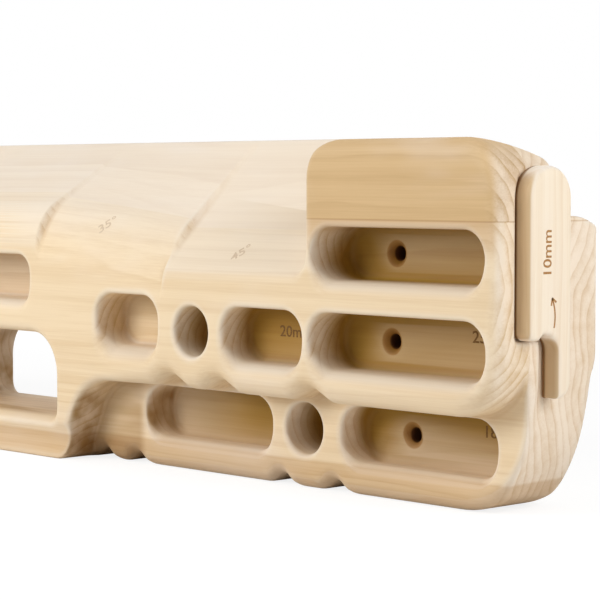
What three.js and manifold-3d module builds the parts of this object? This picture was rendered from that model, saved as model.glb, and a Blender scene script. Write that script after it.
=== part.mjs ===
// A wooden climbing hangboard with a storable depth insert on each end.
// Millimetres. x runs along the board, y from the front to the wall, z up.
// The origin is in the middle of the bottom edge.

import * as THREE from "three";
import { mergeVertices } from "three/addons/utils/BufferGeometryUtils.js";
import Module from "manifold-3d";

const wasm = await Module();
wasm.setup();

// The milled board
const BOARD_LENGTH = 750;
const BOARD_DEPTH = 68;
const BOARD_HEIGHT = 168.5;
const BACK_EDGE = 2.5;
const TOP_CORNER_RADIUS = 24;
const TOP_FRONT_EDGE = 8;
const END_FRONT_EDGE = 4;
const END_FRONT_EDGE_HEIGHT = 105;

// The front lip that hangs over the lowest row
const LIP_HEIGHT = 44.5;
const LIP_EDGE = 9;
const LIP_CORNER_RADIUS = 28;
const LIP_SCALLOP_WIDTH = 28;
const LIP_SCALLOP_RISE = 7;

// The middle, which comes down to the bottom as a pull-up bar
const MIDDLE_HALF_WIDTH = 68;
const MIDDLE_FLARE = 20;
const MIDDLE_CORNER_RADIUS = 8;
const COVE_RADIUS = 30;
const COVE_EDGE = 4;
const BAR_GROOVE_REACH = 8;
const BAR_TOE_SETBACK = 2;

// The set-back lower part. Its end draws in towards the wall, under a sloping
// shoulder, which leaves finger room behind the insert's tail.
const LOWER_SETBACK = 21;
const LOWER_CORNER_RADIUS = 43;
const LOWER_END_EDGE = 2;
const RELIEF_SHOULDER = 69;
const RELIEF_SHOULDER_RISE = 2.5;
const RELIEF_RADIUS = 12;
const RELIEF_COVE_WIDTH = 8;
const RELIEF_COVE_INSET = 3.4;
const RELIEF_BACK_INSET = 7.5;
const LOWER_BOTTOM_EDGE = 8;
const LOWER_BACK_EDGE = 8;
const LOWER_TOP = 98;
const LOWER_TOP_CORNER = 18;
const FOOT_SCALLOP_WIDTH = 20;
const FOOT_SCALLOP_RISE = 7;
const FIRST_FOOT_WIDTH = 7;
const SCALLOP_TIP_RADIUS = 8;
const SCALLOP_SHOULDER_RADIUS = 9;

// Finger pockets: the top rim is crisp and the lower rim is worked round
const RIM_TOP = 1.5;
const RIM_SIDE = 2.5;
const RIM_LOWER = 8;
const MONO_RIM = 1.5;
const MONO_RIM_LOWER = 3;
const POCKET_CORNER = 12.4;
const POCKET_FLOOR_FILLET = 2.5;
const MONO_DIAMETER = 25;
const MONO_DEPTH = 30;
const END_WALL = 8;

// Top row
const UPPER_POCKET_FLOOR = 101.5;
const UPPER_POCKET_HEIGHT = 25;
const UPPER_POCKET_DEPTH = 28;

// Middle row, outwards from the middle of the board. The wide pocket takes the
// length that is left up to the end wall.
const MIDDLE_ROW_FLOOR = 60;
const MIDDLE_ROW_HEIGHT = 27;
const TWO_FINGER_FROM_MIDDLE = 32;
const TWO_FINGER_LENGTH = 49;
const TWO_FINGER_DEPTH = 20;
const TWO_FINGER_LIFT = 3;
const TWO_FINGER_RIB = 13.5;
const THREE_FINGER_RIB = 10;
const THREE_FINGER_LENGTH = 56;
const THREE_FINGER_DEPTH = 20;
const WIDE_POCKET_RIB = 5;
const WIDE_POCKET_DEPTH = 25;

// Lowest row, laid out in the same way
const LOW_ROW_FLOOR = 15.5;
const LOW_ROW_HEIGHT = 27;
const LOW_RIM_LOWER = 7;
const LOW_LONG_FROM_MIDDLE = 48;
const LOW_LONG_LENGTH = 95;
const LOW_LONG_DEPTH = 18;
const LOW_LONG_RIB = 10.5;
const LOW_WIDE_RIB = 13;
const LOW_WIDE_DEPTH = 18;
const LOW_END_WALL = 18.5;

// Centre pocket and the opening over the pull-up bar
const CENTRE_POCKET_LENGTH = 84;
const CENTRE_POCKET_FLOOR = 83.5;
const CENTRE_POCKET_HEIGHT = 24.5;
const CENTRE_POCKET_DEPTH = 25;
const CENTRE_POCKET_CORNER = 10;
const BAR_TOP = 22.5;
const OPENING_LENGTH = 128;
const OPENING_HEIGHT = 44;
const OPENING_TOP_CORNER = 22;
const OPENING_LOWER_CORNER = 7;
const OPENING_RIM = 5;
const OPENING_BACK_RIM = 3;
const OPENING_BAR_RIM = 3;

// Slopers in degrees, from the middle outwards, that all end at one back edge.
// The inner one steepens along its length.
const SLOPER_TOP_SETBACK = 2;
const CENTRE_SLOPER_SLOPE = 30;
const CENTRE_SLOPER_NOSE = 10;
const INNER_SLOPER_START = 49;
const INNER_SLOPER_SLOPE = 36;
const INNER_SLOPER_END_SLOPE = 40;
const INNER_SLOPER_NOSE = 20;
const OUTER_SLOPER_START = 152;
const OUTER_SLOPER_SLOPE = 45;
const OUTER_SLOPER_NOSE = 2;
const SLOPER_STEP_WIDTH = 6;
const SLOPER_COVE = 8;

// Jugs over the top row. They stand a little lower than the board's back edge
// and start a little before the pockets under them.
const JUG_DROP = 2;
const JUG_OVER_RIB = 1.5;
const JUG_CORNER_RADIUS = 18;
const JUG_LIP_THICKNESS = 38.5;
const JUG_LIP_FALL = 10;
const JUG_LIP_CROWN = 3;
const JUG_TROUGH_DEPTH = 34.5;
const JUG_FLOOR_RADIUS = 8;
const JUG_INNER_RADIUS = 3;
const JUG_BACK_EDGE = 4;

// Countersunk screw holes, in the back walls of the outer pockets
const SCREW_FROM_RIB = 30.5;
const SCREW_HOLE_DIAMETER = 6.5;
const COUNTERSINK_DIAMETER = 12;
const COUNTERSINK_DEPTH = 3;

// The insert that makes a pocket shallower, stored in a shallow seat on the end
const INSERT_THICKNESS = 10;
const INSERT_WIDTH = 28;
const INSERT_FROM_TOP = 14.5;
const INSERT_BODY_BOTTOM = 78.8;
const INSERT_TAIL_BOTTOM = 53;
const INSERT_TAIL_WIDTH = 9;
const INSERT_TAIL_CORNER = 6.5;
const INSERT_NOTCH_WIDTH = 12;
const INSERT_NOTCH_RISE = 2.5;
const INSERT_NOTCH_RADIUS = 8;
const INSERT_OUTER_EDGE = 2.4;
const INSERT_INNER_EDGE = 1;
const INSERT_FROM_FRONT = 13.2;
const INSERT_SMALL_CORNER = 1.5;
const SEAT_DEPTH = 3;
const SEAT_CLEARANCE = 0.3;
const SEAT_SIDE_GAP = 0.8;
const SEAT_LEDGE_LENGTH = 16;

// Disc magnets that hold the insert
const MAGNET_DIAMETER = 8;
const MAGNET_THICKNESS = 3;
const MAGNET_CLEARANCE = 0.3;
const UPPER_MAGNET_FROM_TOP = 14;
const LOWER_MAGNET_RISE = 15.2;

// How finely curves are cut, how far a cutter runs past what it cuts, and how
// close two points of an outline are when they count as one
const ARC_STEP_DEGREES = 20;
const ROUND_STEPS = 16;
const EDGE_STEPS = 3;
const NOSE_STEPS = 5;
const STEP_RINGS = 4;
const OVERRUN = 20;
const SAME_POINT = 0.001;

const FRONT = -BOARD_DEPTH / 2;
const BACK = BOARD_DEPTH / 2;
const END = BOARD_LENGTH / 2;
const JUG_HEIGHT = BOARD_HEIGHT - JUG_DROP;
const JUG_FLOOR = JUG_HEIGHT - JUG_TROUGH_DEPTH;
const INSERT_TOP = BOARD_HEIGHT - INSERT_FROM_TOP;
const LOWER_FACE = FRONT + LOWER_SETBACK;
const QUARTER_TURN = Math.PI / 2;
const SIDES = [1, -1];

const BOARD_MATERIAL = { color: 0xe3c79b, roughness: 0.62, metalness: 0 };
const INSERT_MATERIAL = { color: 0xecd3a6, roughness: 0.55, metalness: 0 };
const MAGNET_MATERIAL = { color: 0xb9bcc0, roughness: 0.3, metalness: 1 };

// Outlines

/** A corner of an outline, turned by a radius, with the radius of the edge there. */
function corner(u, v, radius, edge = 0) {
  return { u, v, radius, edge };
}

/**
 * Walks counter-clockwise through the corners and turns each by its radius.
 * Every point carries its outward normal and the radius of its edge. A sharp
 * corner's normal is as long as its mitre, so that both sides move alike.
 * Where two arcs meet with nothing between them, their shared point stays once.
 */
function roundedOutline(corners) {
  const points = corners.flatMap((at, index) => {
    const before = corners[(index + corners.length - 1) % corners.length];
    const after = corners[(index + 1) % corners.length];
    const into = new THREE.Vector2(at.u - before.u, at.v - before.v).normalize();
    const out = new THREE.Vector2(after.u - at.u, after.v - at.v).normalize();
    const outward = new THREE.Vector2(into.y, -into.x);
    const point = new THREE.Vector2(at.u, at.v);
    if (at.radius === 0) {
      const mitre = outward.clone().add(new THREE.Vector2(out.y, -out.x));
      return [{ point, normal: mitre.divideScalar(1 + into.dot(out)), edge: at.edge }];
    }
    const turn = Math.atan2(into.cross(out), into.dot(out));
    const side = Math.sign(turn);
    const centre = point
      .addScaledVector(into, -at.radius * Math.tan(Math.abs(turn) / 2))
      .addScaledVector(outward, -side * at.radius);
    const steps = Math.ceil(Math.abs(turn) / THREE.MathUtils.degToRad(ARC_STEP_DEGREES));
    return Array.from({ length: steps + 1 }, (_, step) => {
      const normal = outward.clone().rotateAround(new THREE.Vector2(), (turn * step) / steps);
      const onArc = centre.clone().addScaledVector(normal, side * at.radius);
      return { point: onArc, normal, edge: at.edge };
    });
  });
  return points.filter(({ point }, index) => {
    const before = points[(index + points.length - 1) % points.length];
    return point.distanceTo(before.point) > SAME_POINT;
  });
}

/** Mirrors the right half of an outline about x = 0 and closes it. */
function mirrored(rightHalf) {
  const leftHalf = rightHalf.map((at) => corner(-at.u, at.v, at.radius, at.edge)).reverse();
  return roundedOutline([...rightHalf, ...leftHalf]);
}

/** The three corners of a scallop that rises from a lower edge. */
function scallop(middle, width, rise, height, edge = 0) {
  return [
    corner(middle - width / 2, height, SCALLOP_SHOULDER_RADIUS, edge),
    corner(middle, height + rise, SCALLOP_TIP_RADIUS, edge),
    corner(middle + width / 2, height, SCALLOP_SHOULDER_RADIUS, edge),
  ];
}

// Solids

/** Turns a closed geometry into a solid that can be cut and joined. */
function solidOf(geometry) {
  const bare = geometry.index ? geometry.clone() : geometry;
  bare.deleteAttribute("normal");
  bare.deleteAttribute("uv");
  const merged = mergeVertices(bare);
  return new wasm.Manifold(
    new wasm.Mesh({
      numProp: 3,
      vertProperties: new Float32Array(merged.attributes.position.array),
      triVerts: new Uint32Array(merged.index.array),
    }),
  );
}

/** Turns a solid back into a geometry. */
function geometryOf(solid) {
  const mesh = solid.getMesh();
  const geometry = new THREE.BufferGeometry();
  geometry.setAttribute("position", new THREE.BufferAttribute(mesh.vertProperties, 3));
  geometry.setIndex(new THREE.BufferAttribute(mesh.triVerts, 1));
  geometry.computeVertexNormals();
  return geometry;
}

/** Skins rings of points that all have one length, and closes both ends. */
function loft(givenRings, flatten) {
  const clockwise = THREE.ShapeUtils.isClockWise(givenRings[0].map(flatten));
  const rings = clockwise ? givenRings.map((ring) => ring.toReversed()) : givenRings;
  const count = rings[0].length;
  const faces = [];
  for (let ring = 0; ring + 1 < rings.length; ring += 1) {
    for (let at = 0; at < count; at += 1) {
      const next = (at + 1) % count;
      const near = ring * count;
      const far = near + count;
      faces.push([near + at, near + next, far + next], [near + at, far + next, far + at]);
    }
  }
  const lastRing = (rings.length - 1) * count;
  for (const [a, b, c] of THREE.ShapeUtils.triangulateShape(rings[0].map(flatten), [])) {
    faces.push([a, c, b]);
  }
  for (const [a, b, c] of THREE.ShapeUtils.triangulateShape(rings.at(-1).map(flatten), [])) {
    faces.push([lastRing + a, lastRing + b, lastRing + c]);
  }
  const points = rings.flat();
  const volume = faces.reduce((sum, [a, b, c]) => {
    return sum + points[a].dot(points[b].clone().cross(points[c]));
  }, 0);
  const outward = volume > 0 ? faces : faces.map(([a, b, c]) => [a, c, b]);
  const geometry = new THREE.BufferGeometry().setFromPoints(points);
  geometry.setIndex(outward.flat());
  return geometry;
}

/** How the flat outline (u, v) and the run w become x, y and z. */
const ALONG_Y = {
  place: (u, v, w) => new THREE.Vector3(u, w, v),
  flatten: (point) => new THREE.Vector2(point.x, point.z),
};
const ALONG_X = {
  place: (u, v, w) => new THREE.Vector3(w, u, v),
  flatten: (point) => new THREE.Vector2(point.y, point.z),
};

/** One ring of a run: the outline moved out by spread, at the run's place w. */
function ringOf(outline, along, spread, w) {
  return outline.map((at) => {
    const moved = at.point.clone().addScaledVector(at.normal, spread(at));
    return along.place(moved.x, moved.y, w(at));
  });
}

/**
 * Rings of a rounded edge. side is -1 where the solid draws in to its end
 * and 1 where a cutter opens out; inwards is the run's way into the solid.
 */
function edgeRings(outline, along, end, inwards, side, radiusOf) {
  return Array.from({ length: EDGE_STEPS + 1 }, (_, step) => {
    const angle = (QUARTER_TURN * step) / EDGE_STEPS;
    const spread = (at) => side * radiusOf(at) * (1 - Math.sin(angle));
    const w = (at) => end + inwards * radiusOf(at) * (1 - Math.cos(angle));
    return ringOf(outline, along, spread, w);
  });
}

/** A solid from start to end with rounded edges; a last radius of 0 leaves it sharp. */
function roundedRun(outline, along, start, end, radiusOf, lastRadius) {
  const inwards = Math.sign(end - start);
  const first = edgeRings(outline, along, start, inwards, -1, radiusOf);
  const last = lastRadius > 0
    ? edgeRings(outline, along, end, -inwards, -1, () => lastRadius).reverse()
    : [ringOf(outline, along, () => 0, () => end)];
  return loft([...first, ...last], along.flatten);
}

/** The rim radius of a pocket: crisp on top, round below. */
function rimOf(top, side, lower) {
  return ({ normal }) => {
    const share = normal.y * normal.y;
    return THREE.MathUtils.lerp(side, normal.y > 0 ? top : lower, share);
  };
}

/** The outline of a pocket between two ends, with round corners. */
function pocketOutline({ left, right, floor, height, radius }) {
  return roundedOutline([
    corner(left, floor, radius),
    corner(right, floor, radius),
    corner(right, floor + height, radius),
    corner(left, floor + height, radius),
  ]);
}

/** A blind cutter that opens out to its mouth and has a filleted floor. */
function pocketCutter(pocket) {
  const outline = pocketOutline(pocket);
  const rim = pocket.rim;
  const bottom = pocket.face + pocket.depth;
  return loft(
    [
      ringOf(outline, ALONG_Y, rim, () => pocket.face - OVERRUN),
      ...edgeRings(outline, ALONG_Y, pocket.face, 1, 1, rim),
      ringOf(outline, ALONG_Y, () => 0, () => bottom - POCKET_FLOOR_FILLET),
      ringOf(outline, ALONG_Y, () => -POCKET_FLOOR_FILLET, () => bottom),
    ],
    ALONG_Y.flatten,
  );
}

/** A cutter right through the board, with a worked rim in front and behind. */
function openingCutter(opening) {
  const outline = roundedOutline(opening.corners);
  const backRim = () => opening.backRim;
  return loft(
    [
      ringOf(outline, ALONG_Y, opening.rim, () => FRONT - OVERRUN),
      ...edgeRings(outline, ALONG_Y, FRONT, 1, 1, opening.rim),
      ...edgeRings(outline, ALONG_Y, BACK, -1, 1, backRim).reverse(),
      ringOf(outline, ALONG_Y, backRim, () => BACK + OVERRUN),
    ],
    ALONG_Y.flatten,
  );
}

/** A plain prism of an outline between two places of the run. */
function prism(outline, along, start, end) {
  const still = () => 0;
  return loft(
    [ringOf(outline, along, still, () => start), ringOf(outline, along, still, () => end)],
    along.flatten,
  );
}

// Pockets of the right half

/** Ends and sizes of every pocket in the right half, row by row. */
function pocketsOfOneSide() {
  const rim = rimOf(RIM_TOP, RIM_SIDE, RIM_LOWER);
  const lowRim = rimOf(RIM_TOP, RIM_SIDE, LOW_RIM_LOWER);
  const monoRim = rimOf(MONO_RIM, MONO_RIM, MONO_RIM_LOWER);
  const middle = {
    floor: MIDDLE_ROW_FLOOR,
    height: MIDDLE_ROW_HEIGHT,
    radius: POCKET_CORNER,
    rim,
    face: FRONT,
  };
  const low = {
    floor: LOW_ROW_FLOOR,
    height: LOW_ROW_HEIGHT,
    radius: POCKET_CORNER,
    rim: lowRim,
    face: LOWER_FACE,
  };

  const twoLeft = MIDDLE_HALF_WIDTH + TWO_FINGER_FROM_MIDDLE;
  const twoRight = twoLeft + TWO_FINGER_LENGTH;
  const monoLeft = twoRight + TWO_FINGER_RIB;
  const threeLeft = monoLeft + MONO_DIAMETER + THREE_FINGER_RIB;
  const threeRight = threeLeft + THREE_FINGER_LENGTH;
  const wideLeft = threeRight + WIDE_POCKET_RIB;
  const wideRight = END - END_WALL;

  const lowLongLeft = MIDDLE_HALF_WIDTH + LOW_LONG_FROM_MIDDLE;
  const lowLongRight = lowLongLeft + LOW_LONG_LENGTH;
  const lowMonoLeft = lowLongRight + LOW_LONG_RIB;
  const lowWideLeft = lowMonoLeft + MONO_DIAMETER + LOW_WIDE_RIB;
  const lowWideRight = END - LOW_END_WALL;

  const monoIn = (row, left) => ({
    ...row,
    left,
    right: left + MONO_DIAMETER,
    floor: row.floor + (row.height - MONO_DIAMETER) / 2,
    height: MONO_DIAMETER,
    radius: MONO_DIAMETER / 2,
    depth: MONO_DEPTH,
    rim: monoRim,
  });

  return {
    upper: {
      left: wideLeft,
      right: wideRight,
      floor: UPPER_POCKET_FLOOR,
      height: UPPER_POCKET_HEIGHT,
      radius: POCKET_CORNER,
      depth: UPPER_POCKET_DEPTH,
      rim,
      face: FRONT,
    },
    wide: { ...middle, left: wideLeft, right: wideRight, depth: WIDE_POCKET_DEPTH },
    three: { ...middle, left: threeLeft, right: threeRight, depth: THREE_FINGER_DEPTH },
    mono: monoIn(middle, monoLeft),
    two: {
      ...middle,
      left: twoLeft,
      right: twoRight,
      floor: MIDDLE_ROW_FLOOR + TWO_FINGER_LIFT,
      depth: TWO_FINGER_DEPTH,
    },
    lowWide: { ...low, left: lowWideLeft, right: lowWideRight, depth: LOW_WIDE_DEPTH },
    lowMono: monoIn(low, lowMonoLeft),
    lowLong: { ...low, left: lowLongLeft, right: lowLongRight, depth: LOW_LONG_DEPTH },
  };
}

const POCKETS = pocketsOfOneSide();
const SLOPER_LIMIT = POCKETS.wide.left - JUG_OVER_RIB;

/** The middle of the rib between two neighbouring pockets. */
function ribBetween(inner, outer) {
  return (inner.right + outer.left) / 2;
}

// The board's two thicknesses

/** The front part: top, ends, scalloped lip and the middle down to the bar. */
function frontBlock() {
  const lipScallop = (middle) => {
    return scallop(middle, LIP_SCALLOP_WIDTH, LIP_SCALLOP_RISE, LIP_HEIGHT, LIP_EDGE);
  };
  const jugStep = SLOPER_LIMIT + JUG_INNER_RADIUS;
  const rightHalf = [
    corner(MIDDLE_HALF_WIDTH, 0, MIDDLE_CORNER_RADIUS, COVE_EDGE),
    corner(MIDDLE_HALF_WIDTH + MIDDLE_FLARE, LIP_HEIGHT, COVE_RADIUS, COVE_EDGE),
    ...lipScallop(ribBetween(POCKETS.two, POCKETS.mono)),
    ...lipScallop(ribBetween(POCKETS.mono, POCKETS.three)),
    ...lipScallop(ribBetween(POCKETS.three, POCKETS.wide)),
    corner(END, LIP_HEIGHT, LIP_CORNER_RADIUS, LIP_EDGE),
    corner(END, END_FRONT_EDGE_HEIGHT, 0, END_FRONT_EDGE),
    corner(END, JUG_HEIGHT, TOP_CORNER_RADIUS, TOP_FRONT_EDGE),
    corner(jugStep, JUG_HEIGHT, 0, TOP_FRONT_EDGE),
    corner(jugStep, BOARD_HEIGHT, 0, TOP_FRONT_EDGE),
  ];
  return roundedRun(mirrored(rightHalf), ALONG_Y, FRONT, BACK, (at) => at.edge, BACK_EDGE);
}

/** The set-back part with its scalloped feet, which the front part overlaps. */
function lowerBlock() {
  const foot = (middle) => scallop(middle, FOOT_SCALLOP_WIDTH, FOOT_SCALLOP_RISE, 0);
  const firstScallop = MIDDLE_HALF_WIDTH + FOOT_SCALLOP_WIDTH / 2;
  const secondScallop = firstScallop + FOOT_SCALLOP_WIDTH + FIRST_FOOT_WIDTH;
  const rightHalf = [
    ...foot(firstScallop),
    ...foot(secondScallop),
    ...foot(ribBetween(POCKETS.lowLong, POCKETS.lowMono)),
    ...foot(ribBetween(POCKETS.lowMono, POCKETS.lowWide)),
    corner(END, 0, LOWER_CORNER_RADIUS),
    corner(END, LOWER_TOP, LOWER_TOP_CORNER),
  ];
  const edge = ({ normal }) => {
    return THREE.MathUtils.lerp(LOWER_BOTTOM_EDGE, LOWER_END_EDGE, normal.x * normal.x);
  };
  return roundedRun(mirrored(rightHalf), ALONG_Y, LOWER_FACE, BACK, edge, LOWER_BACK_EDGE);
}

/**
 * Draws the lower end in: a cove behind the front edge, a taper to the wall
 * and a rounded back edge, all under a shoulder that slopes at one angle.
 */
function reliefCutter(side) {
  const far = END + OVERRUN;
  const ringAt = (y, inset) => {
    const x = END - inset;
    const outline = roundedOutline([
      corner(x - LOWER_CORNER_RADIUS, -OVERRUN, 0),
      corner(far, -OVERRUN, 0),
      corner(far, RELIEF_SHOULDER + OVERRUN * RELIEF_SHOULDER_RISE, 0),
      corner(x, RELIEF_SHOULDER - inset * RELIEF_SHOULDER_RISE, RELIEF_RADIUS),
      corner(x, 0, LOWER_CORNER_RADIUS),
      corner(x - LOWER_CORNER_RADIUS, 0, 0),
    ]);
    return outline.map(({ point }) => ALONG_Y.place(side * point.x, point.y, y));
  };
  const backEdge = Array.from({ length: EDGE_STEPS + 1 }, (_, step) => {
    const angle = (QUARTER_TURN * step) / EDGE_STEPS;
    const y = BACK - LOWER_BACK_EDGE * (1 - Math.sin(angle));
    return ringAt(y, RELIEF_BACK_INSET + LOWER_BACK_EDGE * (1 - Math.cos(angle)));
  });
  const rings = [
    ringAt(LOWER_FACE - RELIEF_COVE_WIDTH, -RELIEF_COVE_INSET),
    ringAt(LOWER_FACE + RELIEF_COVE_WIDTH, RELIEF_COVE_INSET),
    ...backEdge,
    ringAt(BACK + OVERRUN, RELIEF_BACK_INSET + LOWER_BACK_EDGE),
  ];
  return loft(rings, ALONG_Y.flatten);
}

// Top of the board

const SLOPERS = {
  centre: { slope: CENTRE_SLOPER_SLOPE, nose: CENTRE_SLOPER_NOSE },
  inner: { slope: INNER_SLOPER_SLOPE, nose: INNER_SLOPER_NOSE },
  innerEnd: { slope: INNER_SLOPER_END_SLOPE, nose: INNER_SLOPER_NOSE },
  outer: { slope: OUTER_SLOPER_SLOPE, nose: OUTER_SLOPER_NOSE },
};

/**
 * Section of what is cut away over a sloper, in y and z. raise lifts it
 * square to the sloping face, for the cove beside the jug.
 */
function sloperSection({ slope, nose }, raise) {
  const lean = THREE.MathUtils.degToRad(slope);
  const crease = BOARD_HEIGHT - (BOARD_DEPTH - SLOPER_TOP_SETBACK) * Math.tan(lean);
  const centreY = FRONT + nose;
  const centreZ = crease - nose * Math.tan((QUARTER_TURN - lean) / 2);
  const radius = nose + raise;
  const arc = Array.from({ length: NOSE_STEPS + 1 }, (_, step) => {
    const angle = THREE.MathUtils.lerp(Math.PI, QUARTER_TURN + lean, step / NOSE_STEPS);
    return new THREE.Vector2(centreY + radius * Math.cos(angle), centreZ + radius * Math.sin(angle));
  });
  const last = arc.at(-1);
  const farY = BACK + OVERRUN;
  const top = BOARD_HEIGHT + BOARD_DEPTH;
  return [
    new THREE.Vector2(FRONT - OVERRUN, centreZ),
    ...arc,
    new THREE.Vector2(farY, last.y + (farY - last.x) * Math.tan(lean)),
    new THREE.Vector2(farY, top),
    new THREE.Vector2(FRONT - OVERRUN, top),
  ];
}

/** Sections that step down from one sloper at x and cove out into the next. */
function sloperStep(from, to, x) {
  const high = sloperSection(from, 0);
  const low = sloperSection(to, 0);
  return Array.from({ length: STEP_RINGS + 1 }, (_, step) => {
    const angle = (QUARTER_TURN * step) / STEP_RINGS;
    const share = Math.sin(angle);
    return {
      x: x + SLOPER_STEP_WIDTH * (1 - Math.cos(angle)),
      section: high.map((point, index) => point.clone().lerp(low[index], share)),
    };
  });
}

/** Sections that cove the outer sloper up into the side of the jug. */
function sloperEnd() {
  return Array.from({ length: EDGE_STEPS + 1 }, (_, step) => {
    const angle = QUARTER_TURN * (1 - step / EDGE_STEPS);
    return {
      x: SLOPER_LIMIT - SLOPER_COVE * (1 - Math.cos(angle)),
      section: sloperSection(SLOPERS.outer, SLOPER_COVE * (1 - Math.sin(angle))),
    };
  });
}

/** The cutter over all slopers, from jug to jug. */
function sloperCutter() {
  const rightHalf = [
    ...sloperStep(SLOPERS.centre, SLOPERS.inner, INNER_SLOPER_START),
    ...sloperStep(SLOPERS.innerEnd, SLOPERS.outer, OUTER_SLOPER_START),
    ...sloperEnd(),
  ];
  const leftHalf = rightHalf.map(({ x, section }) => ({ x: -x, section })).reverse();
  const rings = [...leftHalf, ...rightHalf].map(({ x, section }) => {
    return section.map(({ x: y, y: z }) => ALONG_X.place(y, z, x));
  });
  return loft(rings, ALONG_X.flatten);
}

/** Takes the sloper's cove away behind the jug lip, where the jug opens. */
function sloperBackCutter(side) {
  const lean = THREE.MathUtils.degToRad(OUTER_SLOPER_SLOPE);
  const lipBack = FRONT + JUG_LIP_THICKNESS;
  const topY = BACK - SLOPER_TOP_SETBACK;
  const heightAt = (y) => BOARD_HEIGHT - (topY - y) * Math.tan(lean);
  const farY = BACK + OVERRUN;
  const top = BOARD_HEIGHT + BOARD_DEPTH;
  const outline = roundedOutline([
    corner(lipBack, heightAt(lipBack), 0),
    corner(farY, heightAt(farY), 0),
    corner(farY, top, 0),
    corner(lipBack, top, 0),
  ]);
  const inner = SLOPER_LIMIT - SLOPER_COVE;
  const outer = SLOPER_LIMIT + JUG_INNER_RADIUS;
  return prism(outline, ALONG_X, side * inner, side * outer);
}

/** The round upper inner corner of the jug block, seen from the front. */
function jugCornerCutter(side) {
  const arc = Array.from({ length: EDGE_STEPS + 1 }, (_, step) => {
    const angle = Math.PI - (QUARTER_TURN * step) / EDGE_STEPS;
    return {
      u: SLOPER_LIMIT + JUG_CORNER_RADIUS * (1 + Math.cos(angle)),
      v: JUG_HEIGHT - JUG_CORNER_RADIUS * (1 - Math.sin(angle)),
    };
  });
  const high = BOARD_HEIGHT + OVERRUN;
  const low = JUG_HEIGHT - JUG_CORNER_RADIUS;
  const ring = (y) => [
    { u: SLOPER_LIMIT - OVERRUN, v: low },
    ...arc,
    { u: SLOPER_LIMIT + JUG_CORNER_RADIUS, v: high },
    { u: SLOPER_LIMIT - OVERRUN, v: high },
  ].map(({ u, v }) => ALONG_Y.place(side * u, v, y));
  return loft([ring(FRONT - OVERRUN), ring(FRONT + JUG_LIP_THICKNESS)], ALONG_Y.flatten);
}

/** Lets the jug's lip fall towards the wall. */
function jugLipCutter(side) {
  const start = FRONT + TOP_FRONT_EDGE;
  const end = FRONT + JUG_LIP_THICKNESS;
  const fall = new THREE.QuadraticBezierCurve(
    new THREE.Vector2(start, JUG_HEIGHT),
    new THREE.Vector2((start + end) / 2, JUG_HEIGHT - JUG_LIP_CROWN),
    new THREE.Vector2(end, JUG_HEIGHT - JUG_LIP_FALL),
  ).getPoints(EDGE_STEPS);
  const high = BOARD_HEIGHT + OVERRUN;
  const section = [...fall, new THREE.Vector2(end, high), new THREE.Vector2(start, high)];
  const ringAt = (x) => section.map(({ x: y, y: z }) => ALONG_X.place(y, z, side * x));
  return loft([ringAt(SLOPER_LIMIT), ringAt(END + OVERRUN)], ALONG_X.flatten);
}

/** The trough behind the jug's lip, open to the wall, the top and the end. */
function jugTroughCutter(side) {
  const lipBack = FRONT + JUG_LIP_THICKNESS;
  const farY = BACK + OVERRUN;
  const high = BOARD_HEIGHT + OVERRUN;
  const outline = roundedOutline([
    corner(lipBack, JUG_FLOOR, JUG_FLOOR_RADIUS),
    corner(BACK - JUG_BACK_EDGE, JUG_FLOOR, JUG_FLOOR_RADIUS),
    corner(farY, JUG_FLOOR - JUG_BACK_EDGE - OVERRUN, 0),
    corner(farY, high, 0),
    corner(lipBack, high, 0),
  ]);
  const edge = () => JUG_INNER_RADIUS;
  return roundedRun(outline, ALONG_X, side * SLOPER_LIMIT, side * (END + OVERRUN), edge, 0);
}

// Middle, ends and fastening

/** The opening over the pull-up bar. */
function barOpeningCutter() {
  const half = OPENING_LENGTH / 2;
  const top = BAR_TOP + OPENING_HEIGHT;
  return openingCutter({
    corners: [
      corner(-half, BAR_TOP, OPENING_LOWER_CORNER),
      corner(half, BAR_TOP, OPENING_LOWER_CORNER),
      corner(half, top, OPENING_TOP_CORNER),
      corner(-half, top, OPENING_TOP_CORNER),
    ],
    rim: rimOf(OPENING_RIM, OPENING_RIM, OPENING_BAR_RIM),
    backRim: OPENING_BACK_RIM,
  });
}

/** Hollows the front of the pull-up bar a little, down to a set-back toe. */
function barGrooveCutter() {
  const top = BAR_TOP - OPENING_BAR_RIM;
  const reach = MIDDLE_HALF_WIDTH + MIDDLE_FLARE;
  const hollow = new THREE.QuadraticBezierCurve(
    new THREE.Vector2(FRONT + BAR_TOE_SETBACK, 0),
    new THREE.Vector2(FRONT + BAR_GROOVE_REACH, top / 2),
    new THREE.Vector2(FRONT, top),
  ).getPoints(EDGE_STEPS + 1);
  const section = [
    new THREE.Vector2(FRONT - OVERRUN, -OVERRUN),
    new THREE.Vector2(FRONT + BAR_TOE_SETBACK, -OVERRUN),
    ...hollow,
    new THREE.Vector2(FRONT - OVERRUN, top),
  ];
  const ringAt = (x) => section.map(({ x: y, y: z }) => ALONG_X.place(y, z, x));
  return loft([ringAt(-reach), ringAt(reach)], ALONG_X.flatten);
}

/** Places of the screw holes: pocket by pocket, half way up each back wall. */
function screwHoles() {
  const pockets = [POCKETS.upper, POCKETS.wide, POCKETS.lowWide];
  return pockets.map(({ floor, height, face, depth }) => ({
    x: POCKETS.wide.left + SCREW_FROM_RIB,
    z: floor + height / 2,
    wall: face + depth,
  }));
}

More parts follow.
